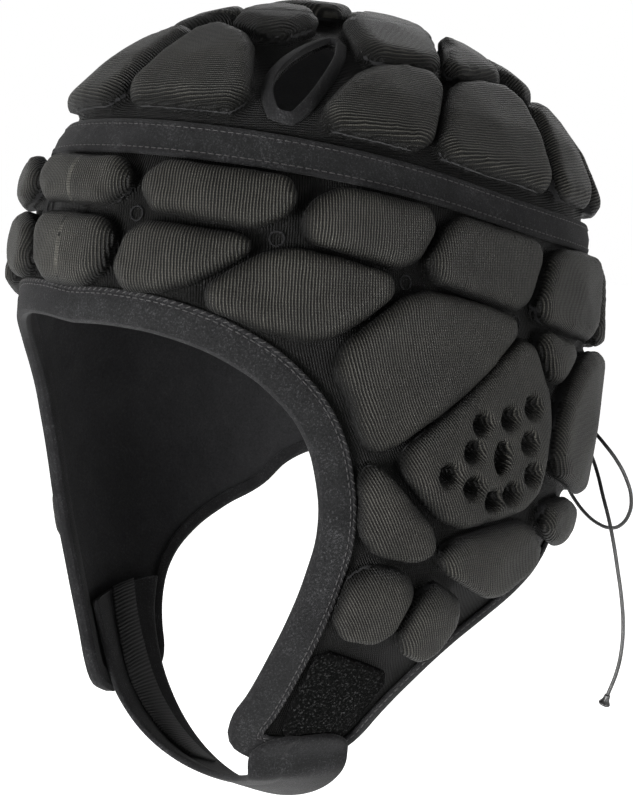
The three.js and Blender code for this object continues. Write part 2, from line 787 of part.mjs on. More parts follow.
function faceBinding() {
  const left = facePath.slice(1);
  const path = [...left.map(mirrored).reverse(), facePath[0], ...left];
  const profile = foldedProfile(bindingWidth, bindingInside);
  return sweptTape("face_binding", sideGround, path, profile, false, trimLook);
}
function napeBinding() {
  const around = (p) => new THREE.Vector2(2 * Math.PI * chartRadius - p.x, p.y);
  const left = napePath.slice(1, -1);
  const path = [...left, napePath[napePath.length - 1], ...left.map(around).reverse()];
  const profile = foldedProfile(napeBindingWidth, napeBindingInside);
  return sweptTape("nape_binding", sideGround, path, profile, false, trimLook);
}

function backTape() {
  const foot = sidePlace(napeEdge[napeEdge.length - 1]).y + napeBindingWidth + seatGap;
  const head = bandCentre(Math.PI) - bandWidth / 2 - seatGap;
  const steps = 6;
  const path = Array.from({ length: steps + 1 }, (_, k) => (
    sideChart(Math.PI, THREE.MathUtils.lerp(foot, head, k / steps))
  ));
  const profile = flatProfile(backTapeWidth, tapeThickness, seatGap);
  return sweptTape("back_tape", sideGround, path, profile, false, trimLook);
}

function cordGuide() {
  const low = seatGap + tapeThickness + seatGap;
  const middle = sideChart(Math.PI, -cordGuideDrop);
  const half = new THREE.Vector2(cordGuideWidth / 2, cordGuideHeight / 2);
  const corner = (x, y) => new THREE.Vector2(x, y).multiply(half).add(middle);
  const corners = [corner(-1, -1), corner(1, -1), corner(1, 1), corner(-1, 1)];
  const outline = softOutline(corners, cordDiameter, cordGuideWidth, 0);
  return patchSolid("cord_guide", sideGround, outline, low, cordGuideThickness, trimLook);
}

function loopPatch() {
  const outline = softOutline(counterclockwise(patchCorners.map(sidePlace)), 3, edgeStep);
  return patchSolid("loop_patch", sideGround, outline, seatGap, patchThickness, patchLook);
}

// Chin strap: stations with points on the front edge, the middle line and the back edge.
function endStation(side, lift) {
  return ({ height, front, back }) => {
    const edge = (angle) => {
      const point = liftedPoint(sideGround, sidePlace({ angle, height }), lift);
      point.x *= side;
      return point;
    };
    return { front: edge(front), middle: edge((front + back) / 2), back: edge(back) };
  };
}
function strapStations() {
  const insideLift = -wall - tapeThickness - 3 * seatGap - strapThickness / 2;
  const outsideLift = seatGap + patchThickness + seatGap + strapThickness / 2;
  const sewn = strapSewnEnd.map(endStation(-1, insideLift));
  const tab = strapTabEnd.map(endStation(1, outsideLift));
  const lead = radians(strapLead);
  const from = sewn[sewn.length - 1];
  const to = tab[0];
  const under = (edge, drop, reach) => (share) => {
    const turn = THREE.MathUtils.lerp(lead, Math.PI - lead, share);
    const fall = (Math.sin(turn) - Math.sin(lead)) / (1 - Math.sin(lead));
    const span = THREE.MathUtils.lerp(-from[edge].x, to[edge].x, share) / Math.cos(lead);
    const forth = THREE.MathUtils.lerp(from[edge].y, to[edge].y, share);
    const start = THREE.MathUtils.lerp(from[edge].z, to[edge].z, share);
    const z = THREE.MathUtils.lerp(start, -flapDrop - drop, fall);
    return new THREE.Vector3(-span * Math.cos(turn), THREE.MathUtils.lerp(forth, -reach, fall), z);
  };
  const middleDrop = (strapDropFront + strapDropBack) / 2;
  const front = under("front", strapDropFront, strapMiddleFront);
  const middle = under("middle", middleDrop, (strapMiddleFront + strapMiddleBack) / 2);
  const back = under("back", strapDropBack, strapMiddleBack);
  const shares = Array.from({ length: strapTurns - 1 }, (_, k) => (k + 1) / strapTurns);
  const loop = shares.map((share) => ({ front: front(share), middle: middle(share), back: back(share) }));
  return [...sewn, ...loop, ...tab];
}

// Point of a station on the curve through its front, middle and back, by the share of the width.
function acrossStation({ front, middle, back }, share) {
  return front.clone().multiplyScalar((2 * share - 1) * (share - 1))
    .addScaledVector(middle, 4 * share * (1 - share))
    .addScaledVector(back, share * (2 * share - 1));
}

// A strip along the strap's stations: across is the share of the width, lift is outwards.
function strapStrip(name, stations, profile, look) {
  const body = new Body();
  const last = stations.length - 1;
  const rings = stations.map((station, i) => {
    const before = stations[Math.max(i - 1, 0)];
    const after = stations[Math.min(i + 1, last)];
    return profile(station.front.distanceTo(station.back)).map(({ across, lift }) => {
      const along = acrossStation(after, across).sub(acrossStation(before, across));
      const aside = acrossStation(station, across + 0.05).sub(acrossStation(station, across - 0.05));
      const outward = aside.cross(along).normalize();
      return body.add(acrossStation(station, across).addScaledVector(outward, lift));
    });
  });
  for (let i = 0; i < last; i += 1) body.bridge(rings[i], rings[i + 1]);
  body.closeEnds(rings[0], rings[last]);
  return body.mesh(name, look);
}

const strap = strapStations();
function chinStrap() {
  const half = strapThickness / 2;
  const shares = [0, 0.25, 0.5, 0.75, 1];
  const profile = () => [
    ...shares.map((across) => ({ across, lift: half })),
    ...[...shares].reverse().map((across) => ({ across, lift: -half })),
  ];
  return strapStrip("chin_strap", strap, profile, trimLook);
}
function stretchBand() {
  const high = -strapThickness / 2 - seatGap;
  const low = high - stretchBandThickness;
  const profile = (width) => {
    const half = stretchBandWidth / width / 2;
    return [
      { across: 0.5 - half, lift: low },
      { across: 0.5 - half, lift: high },
      { across: 0.5, lift: high },
      { across: 0.5 + half, lift: high },
      { across: 0.5 + half, lift: low },
      { across: 0.5, lift: low },
    ];
  };
  const sewn = strap.slice(0, strapSewnEnd.length + Math.round(strapTurns / 2));
  return strapStrip("strap_stretch_band", sewn, profile, patchLook);
}

// A round cord along its route, and the flared end on the tail.
function cordCurve(route) {
  const knots = route.map((place) => new THREE.Vector3(...place));
  return new THREE.CatmullRomCurve3(knots, false, "centripetal");
}
function cord(name, route) {
  const section = new THREE.Shape();
  section.absarc(0, 0, cordDiameter / 2, 0, 2 * Math.PI);
  const path = cordCurve(route);
  const steps = Math.round(path.getLength() / cordStep);
  const geometry = new THREE.ExtrudeGeometry(section, { steps, curveSegments: 4, extrudePath: path });
  return namedMesh(name, geometry, cordLook);
}
function cordEnd() {
  const radius = cordEndDiameter / 2;
  const neck = cordDiameter / 2 + 0.5;
  const profile = [
    [0, 0], [radius - 0.4, 0], [radius, 0.7], [radius - 0.4, 1.3],
    [neck, cordEndLength * 0.55], [neck, cordEndLength], [0, cordEndLength],
  ].map(([x, y]) => new THREE.Vector2(x, y));
  const knob = namedMesh("cord_end", new THREE.LatheGeometry(profile, 12), cordLook);
  const path = cordCurve(tailRoute);
  const away = path.getTangent(1);
  knob.quaternion.setFromUnitVectors(new THREE.Vector3(0, 1, 0), away.clone().negate());
  knob.position.copy(path.getPoint(1)).addScaledVector(away, cordEndLength + seatGap);
  return knob;
}

function ventTrim(side) {
  const [left, right] = bothSides(ventOutline());
  const profile = [
    { inward: -ventTrimWidth, lift: seatGap },
    { inward: 0, lift: seatGap },
    { inward: 0, lift: seatGap + 2 * tapeThickness },
    { inward: -tapeThickness, lift: seatGap + 2 * tapeThickness },
    { inward: -ventTrimWidth, lift: seatGap + tapeThickness * 0.5 },
  ];
  const [name, path] = side > 0 ? ["vent_trim_left", left] : ["vent_trim_right", right];
  return sweptTape(name, crownGround, path, profile, true, trimLook);
}

const cap = new THREE.Group();
cap.add(crownPanel(), sidePanel(), crownBand(), ventTrim(1), ventTrim(-1));
cap.add(faceBinding(), napeBinding(), loopPatch(), chinStrap(), stretchBand());
cap.add(backTape(), cordGuide());
cap.add(cord("drawcord_loop", loopRoute), cord("drawcord_tail", tailRoute), cordEnd());

export default cap;
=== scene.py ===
# %% [markdown]
# # A padded rugby scrum cap
# The frame holds the real shape of every piece, in metres. This lesson dresses it: two padded
# sheets of rib knit, jersey tapes and bindings with their stitches, a strap, a fuzzy patch and a cord.

# %% Load the frame
import math

import bpy
import numpy as np
from mathutils import Matrix, Vector


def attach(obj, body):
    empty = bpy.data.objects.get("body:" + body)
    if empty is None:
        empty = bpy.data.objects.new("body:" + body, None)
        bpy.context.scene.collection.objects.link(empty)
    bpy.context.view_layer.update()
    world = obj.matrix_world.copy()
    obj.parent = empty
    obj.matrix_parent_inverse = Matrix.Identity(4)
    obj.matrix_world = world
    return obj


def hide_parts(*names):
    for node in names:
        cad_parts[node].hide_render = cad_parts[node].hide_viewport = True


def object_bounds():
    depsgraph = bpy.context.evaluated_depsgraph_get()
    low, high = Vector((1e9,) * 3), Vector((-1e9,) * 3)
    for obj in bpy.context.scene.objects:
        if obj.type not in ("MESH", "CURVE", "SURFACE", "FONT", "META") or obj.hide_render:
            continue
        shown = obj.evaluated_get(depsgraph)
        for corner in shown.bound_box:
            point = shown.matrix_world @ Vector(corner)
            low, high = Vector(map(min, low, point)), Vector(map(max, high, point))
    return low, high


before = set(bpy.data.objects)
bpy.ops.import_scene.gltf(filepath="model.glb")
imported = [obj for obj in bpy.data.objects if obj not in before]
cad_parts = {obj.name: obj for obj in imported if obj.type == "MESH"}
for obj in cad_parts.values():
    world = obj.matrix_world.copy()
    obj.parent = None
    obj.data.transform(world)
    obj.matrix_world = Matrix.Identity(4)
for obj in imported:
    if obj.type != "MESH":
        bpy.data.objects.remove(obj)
cad_low, cad_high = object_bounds()
MM = 0.001
print("frame", sorted(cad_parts))

# %% [markdown]
# ## The camera
# The camera stands where the photograph was taken from: round the cap's front left, almost level,
# leaning a little. The lens comes from the focal length in pixels of a frame 633 by 800.

# %% Place the camera
FRAME_WIDTH, FRAME_HEIGHT = 633, 800
SENSOR = 36.0
CAMERA_TURN = math.radians(46.3)
CAMERA_RISE = math.radians(4.0)
CAMERA_LEAN = math.radians(3.1)
CAMERA_DISTANCE = 0.561
FOCAL_PIXELS = 1492
AXIS_PIXEL_X, AXIS_PIXEL_Y = 301.8, 305.7

towards = Vector((
    math.sin(CAMERA_TURN) * math.cos(CAMERA_RISE),
    -math.cos(CAMERA_TURN) * math.cos(CAMERA_RISE),
    math.sin(CAMERA_RISE),
))
level_right = Vector((math.cos(CAMERA_TURN), math.sin(CAMERA_TURN), 0))
level_up = towards.cross(level_right)
leaning_right = level_right * math.cos(CAMERA_LEAN) + level_up * math.sin(CAMERA_LEAN)
leaning_up = level_up * math.cos(CAMERA_LEAN) - level_right * math.sin(CAMERA_LEAN)

bpy.ops.object.camera_add()
camera = bpy.context.object
camera.name = "camera"
turn = Matrix((leaning_right, leaning_up, towards)).transposed()
camera.matrix_world = Matrix.Translation(towards * CAMERA_DISTANCE) @ turn.to_4x4()
camera.data.sensor_width = SENSOR
camera.data.lens = FOCAL_PIXELS * SENSOR / FRAME_HEIGHT
camera.data.shift_x = (FRAME_WIDTH / 2 - AXIS_PIXEL_X) / FRAME_HEIGHT
camera.data.shift_y = (AXIS_PIXEL_Y - FRAME_HEIGHT / 2) / FRAME_HEIGHT
bpy.context.scene.camera = camera
print("lens", round(camera.data.lens, 1))

# %% [markdown]
# ## Small helpers
# A material is a list of nodes joined by links, so one helper adds a node and another joins them.

# %% Helpers for materials
def new_material(name, roughness, specular=0.5):
    material = bpy.data.materials.new(name)
    material.use_nodes = True
    shader = material.node_tree.nodes["Principled BSDF"]
    shader.inputs["Roughness"].default_value = roughness
    shader.inputs["Specular IOR Level"].default_value = specular
    return material, material.node_tree, shader


def add_node(tree, kind, **values):
    node = tree.nodes.new(kind)
    for key, value in values.items():
        if hasattr(node, key):
            setattr(node, key, value)
        else:
            node.inputs[key.replace("_", " ")].default_value = value
    return node


def calculate(tree, operation, first, second=0.0, third=0.0):
    """A Math node whose inputs are sockets or plain numbers."""
    node = tree.nodes.new("ShaderNodeMath")
    node.operation = operation
    for socket, value in zip(node.inputs, (first, second, third)):
        if isinstance(value, bpy.types.NodeSocket):
            tree.links.new(value, socket)
        else:
            socket.default_value = value
    return node.outputs[0]


def colour_steps(tree, factor, steps):
    """A Color Ramp from a list of places and colours."""
    ramp = tree.nodes.new("ShaderNodeValToRGB")
    elements = ramp.color_ramp.elements
    while len(elements) < len(steps):
        elements.new(0.5)
    for element, (place, colour) in zip(elements, steps):
        element.position = place
        element.color = (*colour, 1)
    tree.links.new(factor, ramp.inputs[0])
    return ramp.outputs[0]


def noise(tree, scale, detail=2.0, roughness=0.5):
    """Noise of Object coordinates, so many cells to the metre."""
    place = tree.nodes.new("ShaderNodeTexCoord").outputs["Object"]
    node = add_node(tree, "ShaderNodeTexNoise", Scale=scale, Detail=detail, Roughness=roughness)
    tree.links.new(place, node.inputs["Vector"])
    return node.outputs["Fac"]


def bump(tree, shader, height, distance, strength=1.0):
    node = add_node(tree, "ShaderNodeBump", Strength=strength, Distance=distance)
    tree.links.new(height, node.inputs["Height"])
    tree.links.new(node.outputs[0], shader.inputs["Normal"])


# %% [markdown]
# ## Rib knit
# The pads are covered with a stretchy knit of fine ribs, just under a millimetre apart. The ribs
# catch the light like satin threads, and their colour is painted lighter on the crests and darker
# between them: a painted highlight and painted shade. A UV map named cloth holds how far each place
# lies across and along the ribs, so a sine of its first number is the rib, and a wave of the second
# is each stitch. An attribute named rise says how high a place stands on its pad, and paints shade
# into the grooves.

# %% Rib knit
RIB_PITCH = 0.9
STITCH_PITCH = 0.85
WANDER_SCALE, FIBRE_SCALE, BLOTCH_SCALE = 90, 2600, 60
RIB_WANDER = 0.9
GROOVE_SHADE = 0.15
RIB_SHADE = (0.0008, 0.0008, 0.0007)
RIB_MIDDLE = (0.0034, 0.0033, 0.0029)
RIB_LIT = (0.048, 0.0465, 0.04)


def cloth_millimetres(tree):
    cloth = add_node(tree, "ShaderNodeUVMap", uv_map="cloth")
    parts = tree.nodes.new("ShaderNodeSeparateXYZ")
    tree.links.new(cloth.outputs[0], parts.inputs[0])
    across = calculate(tree, "MULTIPLY", parts.outputs[0], 1000.0)
    along = calculate(tree, "MULTIPLY", parts.outputs[1], 1000.0)
    return across, along


def wave(tree, millimetres, pitch):
    """From 0 to 1 and back once in each pitch."""
    angle = calculate(tree, "MULTIPLY", millimetres, 2 * math.pi / pitch)
    return calculate(tree, "MULTIPLY_ADD", calculate(tree, "SINE", angle), 0.5, 0.5)


def rib_knit():
    material, tree, shader = new_material("rib_knit", 0.5, 0.1)
    across, along = cloth_millimetres(tree)
    wander = calculate(tree, "MULTIPLY_ADD", noise(tree, WANDER_SCALE), RIB_WANDER, -RIB_WANDER / 2)
    across = calculate(tree, "ADD", across, wander)
    rib = wave(tree, across, RIB_PITCH)
    lean = calculate(tree, "MULTIPLY_ADD", rib, 0.35, along)
    stitch = wave(tree, lean, STITCH_PITCH)
    fibre = noise(tree, FIBRE_SCALE, 3.0, 0.7)
    height = calculate(tree, "MULTIPLY_ADD", stitch, 0.28, rib)
    height = calculate(tree, "MULTIPLY_ADD", fibre, 0.6, height)
    shade = calculate(tree, "MULTIPLY", height, 0.55)
    patchy = noise(tree, BLOTCH_SCALE, 3.0, 0.6)
    shade = calculate(tree, "MULTIPLY_ADD", patchy, 0.35, calculate(tree, "SUBTRACT", shade, 0.17))
    # Painted shade: the colour darkens where the cloth lies low, in the grooves and dimples.
    raised = add_node(tree, "ShaderNodeAttribute", attribute_name="rise").outputs["Fac"]
    lit = calculate(tree, "MULTIPLY_ADD", raised, 1 - GROOVE_SHADE, GROOVE_SHADE)
    shade = calculate(tree, "MULTIPLY", shade, lit)
    # The ramp paints shade between the ribs and a highlight on their crests; the fibre and blotch noise give
    # the yarn an uneven tone.
    colour = colour_steps(tree, shade, [(0.12, RIB_SHADE), (0.5, RIB_MIDDLE), (0.95, RIB_LIT)])
    tree.links.new(colour, shader.inputs["Base Color"])
    shader.inputs["Sheen Weight"].default_value = 0.015
    shader.inputs["Sheen Roughness"].default_value = 0.4
    bump(tree, shader, height, 0.45 * MM, 1.0)
    return material


# %% [markdown]
# ## Jersey and lining
# The tapes are jersey bonded to thin foam: matte charcoal, with a speckle of lighter fibres. The
# lining is the same knit, darker and flatter, so one function makes both from a few values.

# %% Jersey, lining, elastic, loop pile, thread and cord
def jersey(name, dark, middle, light, grain, depth, roughness=0.85):
    material, tree, shader = new_material(name, roughness, 0.06)
    fine = noise(tree, grain, 4.0, 0.75)
    specks = noise(tree, grain * 0.55, 2.0, 0.9)
    broad = noise(tree, 120, 2.0, 0.5)
    mixed = calculate(tree, "MULTIPLY_ADD", specks, 0.45, calculate(tree, "MULTIPLY", fine, 0.4))
    mixed = calculate(tree, "MULTIPLY_ADD", broad, 0.15, mixed)
    colour = colour_steps(tree, mixed, [(0.36, dark), (0.54, middle), (0.72, light)])
    tree.links.new(colour, shader.inputs["Base Color"])
    shader.inputs["Sheen Weight"].default_value = 0.03
    shader.inputs["Sheen Roughness"].default_value = 0.5
    bump(tree, shader, mixed, depth * MM, 0.8)
    return material


def ribbed_elastic():
    material, tree, shader = new_material("ribbed_elastic", 0.8, 0.12)
    across, along = cloth_millimetres(tree)
    rib = wave(tree, across, 1.4)
    thread = wave(tree, along, 0.9)
    height = calculate(tree, "MULTIPLY_ADD", thread, 0.35, rib)
    height = calculate(tree, "MULTIPLY_ADD", noise(tree, 1800, 3.0), 0.5, height)
    # The colour follows the rib height: painted shade between the ribs, painted highlight on their crests.
    shade = calculate(tree, "MULTIPLY", height, 0.5)
    colour = colour_steps(tree, shade, [(0.1, (0.004, 0.004, 0.004)), (0.9, (0.022, 0.022, 0.022))])
    tree.links.new(colour, shader.inputs["Base Color"])
    bump(tree, shader, height, 0.3 * MM)
    return material


def loop_pile():
    material, tree, shader = new_material("loop_pile", 0.95, 0.03)
    tufts = noise(tree, 1100, 4.0, 0.8)
    dark, middle, light = (0.0005, 0.0005, 0.0005), (0.003, 0.003, 0.003), (0.05, 0.05, 0.05)
    colour = colour_steps(tree, tufts, [(0.44, dark), (0.57, middle), (0.68, light)])
    tree.links.new(colour, shader.inputs["Base Color"])
    bump(tree, shader, tufts, 1.2 * MM)
    return material


def thread(name, colour):
    material, tree, shader = new_material(name, 0.6, 0.4)
    twist = noise(tree, 3000, 2.0)
    darker = tuple(part * 0.4 for part in colour)
    tree.links.new(colour_steps(tree, twist, [(0.35, darker), (0.65, colour)]), shader.inputs["Base Color"])
    bump(tree, shader, twist, 0.15 * MM)
    return material


def elastic_cord():
    material, tree, shader = new_material("elastic_cord", 0.42, 0.5)
    grain = noise(tree, 1500, 3.0)
    colour = colour_steps(tree, grain, [(0.3, (0.003, 0.003, 0.003)), (0.7, (0.008, 0.008, 0.008))])
    tree.links.new(colour, shader.inputs["Base Color"])
    bump(tree, shader, grain, 0.12 * MM)
    return material


KNIT = rib_knit()
JERSEY = jersey("jersey", (0.002, 0.002, 0.0022), (0.0075, 0.0075, 0.0078), (0.05, 0.05, 0.052), 2300, 0.3)
LINING = jersey("lining", (0.006, 0.006, 0.0064), (0.012, 0.012, 0.0125), (0.024, 0.024, 0.025), 1500, 0.25)
ELASTIC = ribbed_elastic()
PILE = loop_pile()
THREAD = thread("black_thread", (0.013, 0.012, 0.012))
CORD = elastic_cord()

# %% [markdown]
# ## The cord
# A thin elastic cord draws the back in. Its loop and its tail leave a guide at the back and swing
# out to the wearer's left, where the photograph shows them past the outline. The points are the
# ones that the frame's own tubes follow, in millimetres.

# %% Cord loop and tail
CORD_DIAMETER = 1.5
LOOP_ROUTE = [
    (12, 105, -43), (16, 110, -42.6), (22, 115, -42), (30, 118, -41.4), (39, 117, -41), (48, 112, -41),
    (57, 105, -42), (65, 99, -44), (72, 97, -48), (77, 99, -54), (80, 102, -61), (81, 105, -69),
    (79, 107, -76), (75, 108, -81), (69, 110, -83.5), (62, 112, -83.5), (54, 114, -81), (46, 116, -76),
    (39, 118, -70), (31, 118, -64), (23, 114, -58), (16, 109, -54), (12, 105, -53),
]
TAIL_ROUTE = [
    (12, 105, -48), (17, 111, -48), (24, 116, -48), (33, 119, -48), (43, 118, -49), (52, 113, -51.5),
    (60, 107, -56), (67, 102, -62), (72, 99, -69), (76, 98, -77), (79, 98, -86), (81, 99, -96),
    (83, 100, -107), (84, 101, -118), (84, 101, -128), (82.5, 101, -137), (80, 100, -146),
]


def cord_curve(name, route):
    data = bpy.data.curves.new(name, "CURVE")
    data.dimensions = "3D"
    data.resolution_u = 8
    data.bevel_depth = CORD_DIAMETER / 2 * MM
    data.bevel_resolution = 4
    data.use_fill_caps = True
    spline = data.splines.new("BEZIER")
    spline.bezier_points.add(len(route) - 1)
    for point, place in zip(spline.bezier_points, route):
        point.co = Vector(place) * MM
        point.handle_left_type = "AUTO"
        point.handle_right_type = "AUTO"
    data.materials.append(CORD)
    piece = bpy.data.objects.new(name, data)
    bpy.context.collection.objects.link(piece)
    length = spline.calc_length()
    print(name, "length", round(length, 3))
    return piece, length


def merged_copy(node, name):
    """A merged copy of a CAD node, ready to be shaped."""
    bpy.ops.object.select_all(action="DESELECT")
    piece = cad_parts[node].copy()
    piece.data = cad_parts[node].data.copy()
    piece.name = name
    piece.parent = None
    bpy.context.collection.objects.link(piece)
    piece.matrix_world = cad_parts[node].matrix_world
    for key in list(piece.keys()):
        del piece[key]
    piece.select_set(True)
    bpy.context.view_layer.objects.active = piece
    bpy.ops.object.mode_set(mode="EDIT")
    bpy.ops.mesh.select_all(action="SELECT")
    bpy.ops.mesh.remove_doubles(threshold=0.00001)
    bpy.ops.mesh.customdata_custom_splitnormals_clear()
    bpy.ops.object.mode_set(mode="OBJECT")
    return piece


loop, loop_length = cord_curve("cord_loop", LOOP_ROUTE)
tail, tail_length = cord_curve("cord_tail", TAIL_ROUTE)

# %% [markdown]
# ## The ground under the cloth
# Every tape lies on one smooth shell. These few lines work that shell out again from the same
# driving sizes as the frame, so a tape can be swept over it with fine steps and stitched.

# %% Ground shell
HALF_WIDTH, FRONT_REACH, BACK_REACH = 92.0, 104.0, 112.0
CROWN_TOP, DOME_BASE, FLAP_DROP = 104.0, 25.0, 150.0
FRONT_SQUARENESS, BACK_SQUARENESS, DOME_FULLNESS = 2.3, 2.7, 1.95
CHART_RADIUS = (HALF_WIDTH + FRONT_REACH) / 2
WALL = 2.0
SEAT_GAP = 0.3
# height as a share of the flap's drop, then shares of the half width, front and back reach
SECTIONS = [
    (-1.0, 0.58, 0.72, 0.54),
    (-0.73, 0.84, 0.76, 0.68),
    (-0.47, 0.99, 0.85, 0.8),
    (-0.2, 1.0, 0.99, 0.93),
    (0.0, 0.95, 1.0, 0.97),
    (0.17, 0.9, 0.97, 1.0),
]


def section_share(column, height):
    """One column of the sections at a height, on a smooth curve through the rows."""
    last = len(SECTIONS) - 1
    height = min(max(height, SECTIONS[0][0]), SECTIONS[last][0])
    i = 0
    while i < last - 1 and SECTIONS[i + 1][0] < height:
        i += 1
    before, start, stop, after = (SECTIONS[min(max(k, 0), last)] for k in (i - 1, i, i + 1, i + 2))
    span = stop[0] - start[0]
    t = (height - start[0]) / span
    leave = span * (stop[column] - before[column]) / (stop[0] - before[0])
    arrive = span * (after[column] - start[column]) / (after[0] - start[0])
    return (
        (2 * t**3 - 3 * t**2 + 1) * start[column] + (t**3 - 2 * t**2 + t) * leave
        + (3 * t**2 - 2 * t**3) * stop[column] + (t**3 - t**2) * arrive
    )


def ground(place):
    """Point of the shell, in millimetres, at a chart place: millimetres round, and height."""
    theta, z = place[0] / CHART_RADIUS, place[1]
    rise = min(max((z - DOME_BASE) / (CROWN_TOP - DOME_BASE), 0), 1)
    narrowing = (1 - rise**DOME_FULLNESS) ** (1 / DOME_FULLNESS)
    height = min(z, DOME_BASE) / FLAP_DROP
    width = HALF_WIDTH * narrowing * section_share(1, height)
    front = FRONT_REACH * narrowing * section_share(2, height)
    rear = BACK_REACH * narrowing * section_share(3, height)
    sine, cosine = math.sin(theta), math.cos(theta)
    power = FRONT_SQUARENESS if cosine > 0 else BACK_SQUARENESS
    reach = front if cosine > 0 else rear
    radius = ((abs(cosine) / reach) ** power + (abs(sine) / width) ** power) ** (-1 / power)
    return Vector((radius * sine, -radius * cosine, z))


def ground_directions(place):
    step = 0.4
    round_it = ground((place[0] + step, place[1])) - ground((place[0] - step, place[1]))
    upwards = ground((place[0], place[1] + step)) - ground((place[0], place[1] - step))
    return round_it / (2 * step), upwards / (2 * step)


def lifted(place, lift):
    round_it, upwards = ground_directions(place)
    return ground(place) + round_it.cross(upwards).normalized() * lift


def stepped_aside(place, heading, distance):
    """Chart place a true distance to the left of a heading."""
    round_it, upwards = ground_directions(place)
    normal = round_it.cross(upwards).normalized()
    forward = round_it * heading[0] + upwards * heading[1]
    aside = normal.cross(forward).normalized() * distance
    rr, ru, uu = round_it.dot(round_it), round_it.dot(upwards), upwards.dot(upwards)
    sr, su = aside.dot(round_it), aside.dot(upwards)
    area = rr * uu - ru * ru
    return (place[0] + (uu * sr - ru * su) / area, place[1] + (rr * su - ru * sr) / area)


def heading_at(path, i, closed=False):
    count = len(path)
    before = path[(i - 1) % count if closed else max(i - 1, 0)]
    after = path[(i + 1) % count if closed else min(i + 1, count - 1)]
    return (after[0] - before[0], after[1] - before[1])


def smooth_path(places, step):
    """Chart places at even steps on a smooth curve through the given ones."""
    data = bpy.data.curves.new("path", "CURVE")
    data.dimensions = "3D"
    data.resolution_u = 12
    spline = data.splines.new("BEZIER")
    spline.bezier_points.add(len(places) - 1)
    for point, place in zip(spline.bezier_points, places):
        point.co = (place[0], place[1], 0)
        point.handle_left_type = "AUTO"
        point.handle_right_type = "AUTO"
    carrier = bpy.data.objects.new("path", data)
    dense = [vertex.co.copy() for vertex in carrier.to_mesh().vertices]
    bpy.data.objects.remove(carrier)
    lengths = np.cumsum([0] + [(b - a).length for a, b in zip(dense, dense[1:])])
    stops = np.linspace(0, lengths[-1], max(3, round(lengths[-1] / step) + 1))
    xs = np.interp(stops, lengths, [p.x for p in dense])
    ys = np.interp(stops, lengths, [p.y for p in dense])
    return list(zip(xs.tolist(), ys.tolist()))


# %% [markdown]
# ## A strip swept over the ground
# A tape is a small closed section carried along a path. Each vertex knows how far along and across
# the tape it lies, which becomes the cloth UV map. A Bevel modifier then softens the long edges.

# %% Mesh from rings
PATH_STEP = 3.0


def mesh_piece(name, points, faces, cloth, material):
    mesh = bpy.data.meshes.new(name)
    mesh.from_pydata([Vector(point) * MM for point in points], [], faces)
    uv = mesh.uv_layers.new(name="cloth")
    for corner in mesh.loops:
        uv.data[corner.index].uv = (cloth[corner.vertex_index][0] * MM, cloth[corner.vertex_index][1] * MM)
    mesh.materials.append(material)
    mesh.shade_smooth()
    piece = bpy.data.objects.new(name, mesh)
    bpy.context.collection.objects.link(piece)
    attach(piece, "root")
    return piece


def ringed(name, rings, cloth, closed, material):
    """A body through rings of points, joined end to end or capped."""
    size = len(rings[0])
    count = len(rings)
    faces = []
    for i in range(count if closed else count - 1):
        j = (i + 1) % count
        for k in range(size):
            m = (k + 1) % size
            faces.append((i * size + k, i * size + m, j * size + m, j * size + k))
    if not closed:
        faces.append(tuple(reversed(range(size))))
        faces.append(tuple((count - 1) * size + k for k in range(size)))
    points = [point for ring in rings for point in ring]
    return mesh_piece(name, points, faces, cloth, material)


def use_modifier(piece, kind, **values):
    modifier = piece.modifiers.new(kind.lower(), kind)
    for key, value in values.items():
        setattr(modifier, key, value)
    bpy.ops.object.select_all(action="DESELECT")
    piece.select_set(True)
    bpy.context.view_layer.objects.active = piece
    bpy.ops.object.modifier_apply(modifier=modifier.name)


def tape(name, path, section, closed=False, material=None, soften=0.45):
    rings, cloth = [], []
    for i, place in enumerate(path):
        heading = heading_at(path, i, closed)
        rings.append([lifted(stepped_aside(place, heading, inward), lift) for inward, lift in section])
        cloth += [(inward, i * PATH_STEP) for inward, lift in section]
    piece = ringed(name, rings, cloth, closed, material or JERSEY)
    use_modifier(
        piece, "BEVEL", width=soften * MM, segments=3, limit_method="ANGLE", angle_limit=math.radians(35)
    )
    return piece


# %% [markdown]
# ## Stitches
# A row of stitches is many short threads. One thread has six sides and is pointed at both ends, and
# the row is a single mesh.

# %% Rows of stitches
STITCH_SIDES = 6
# along as a share of the stitch's length, and thickness as a share of the thread's
STITCH_RINGS = [(-0.5, 0.35), (-0.36, 0.95), (0.36, 0.95), (0.5, 0.35)]


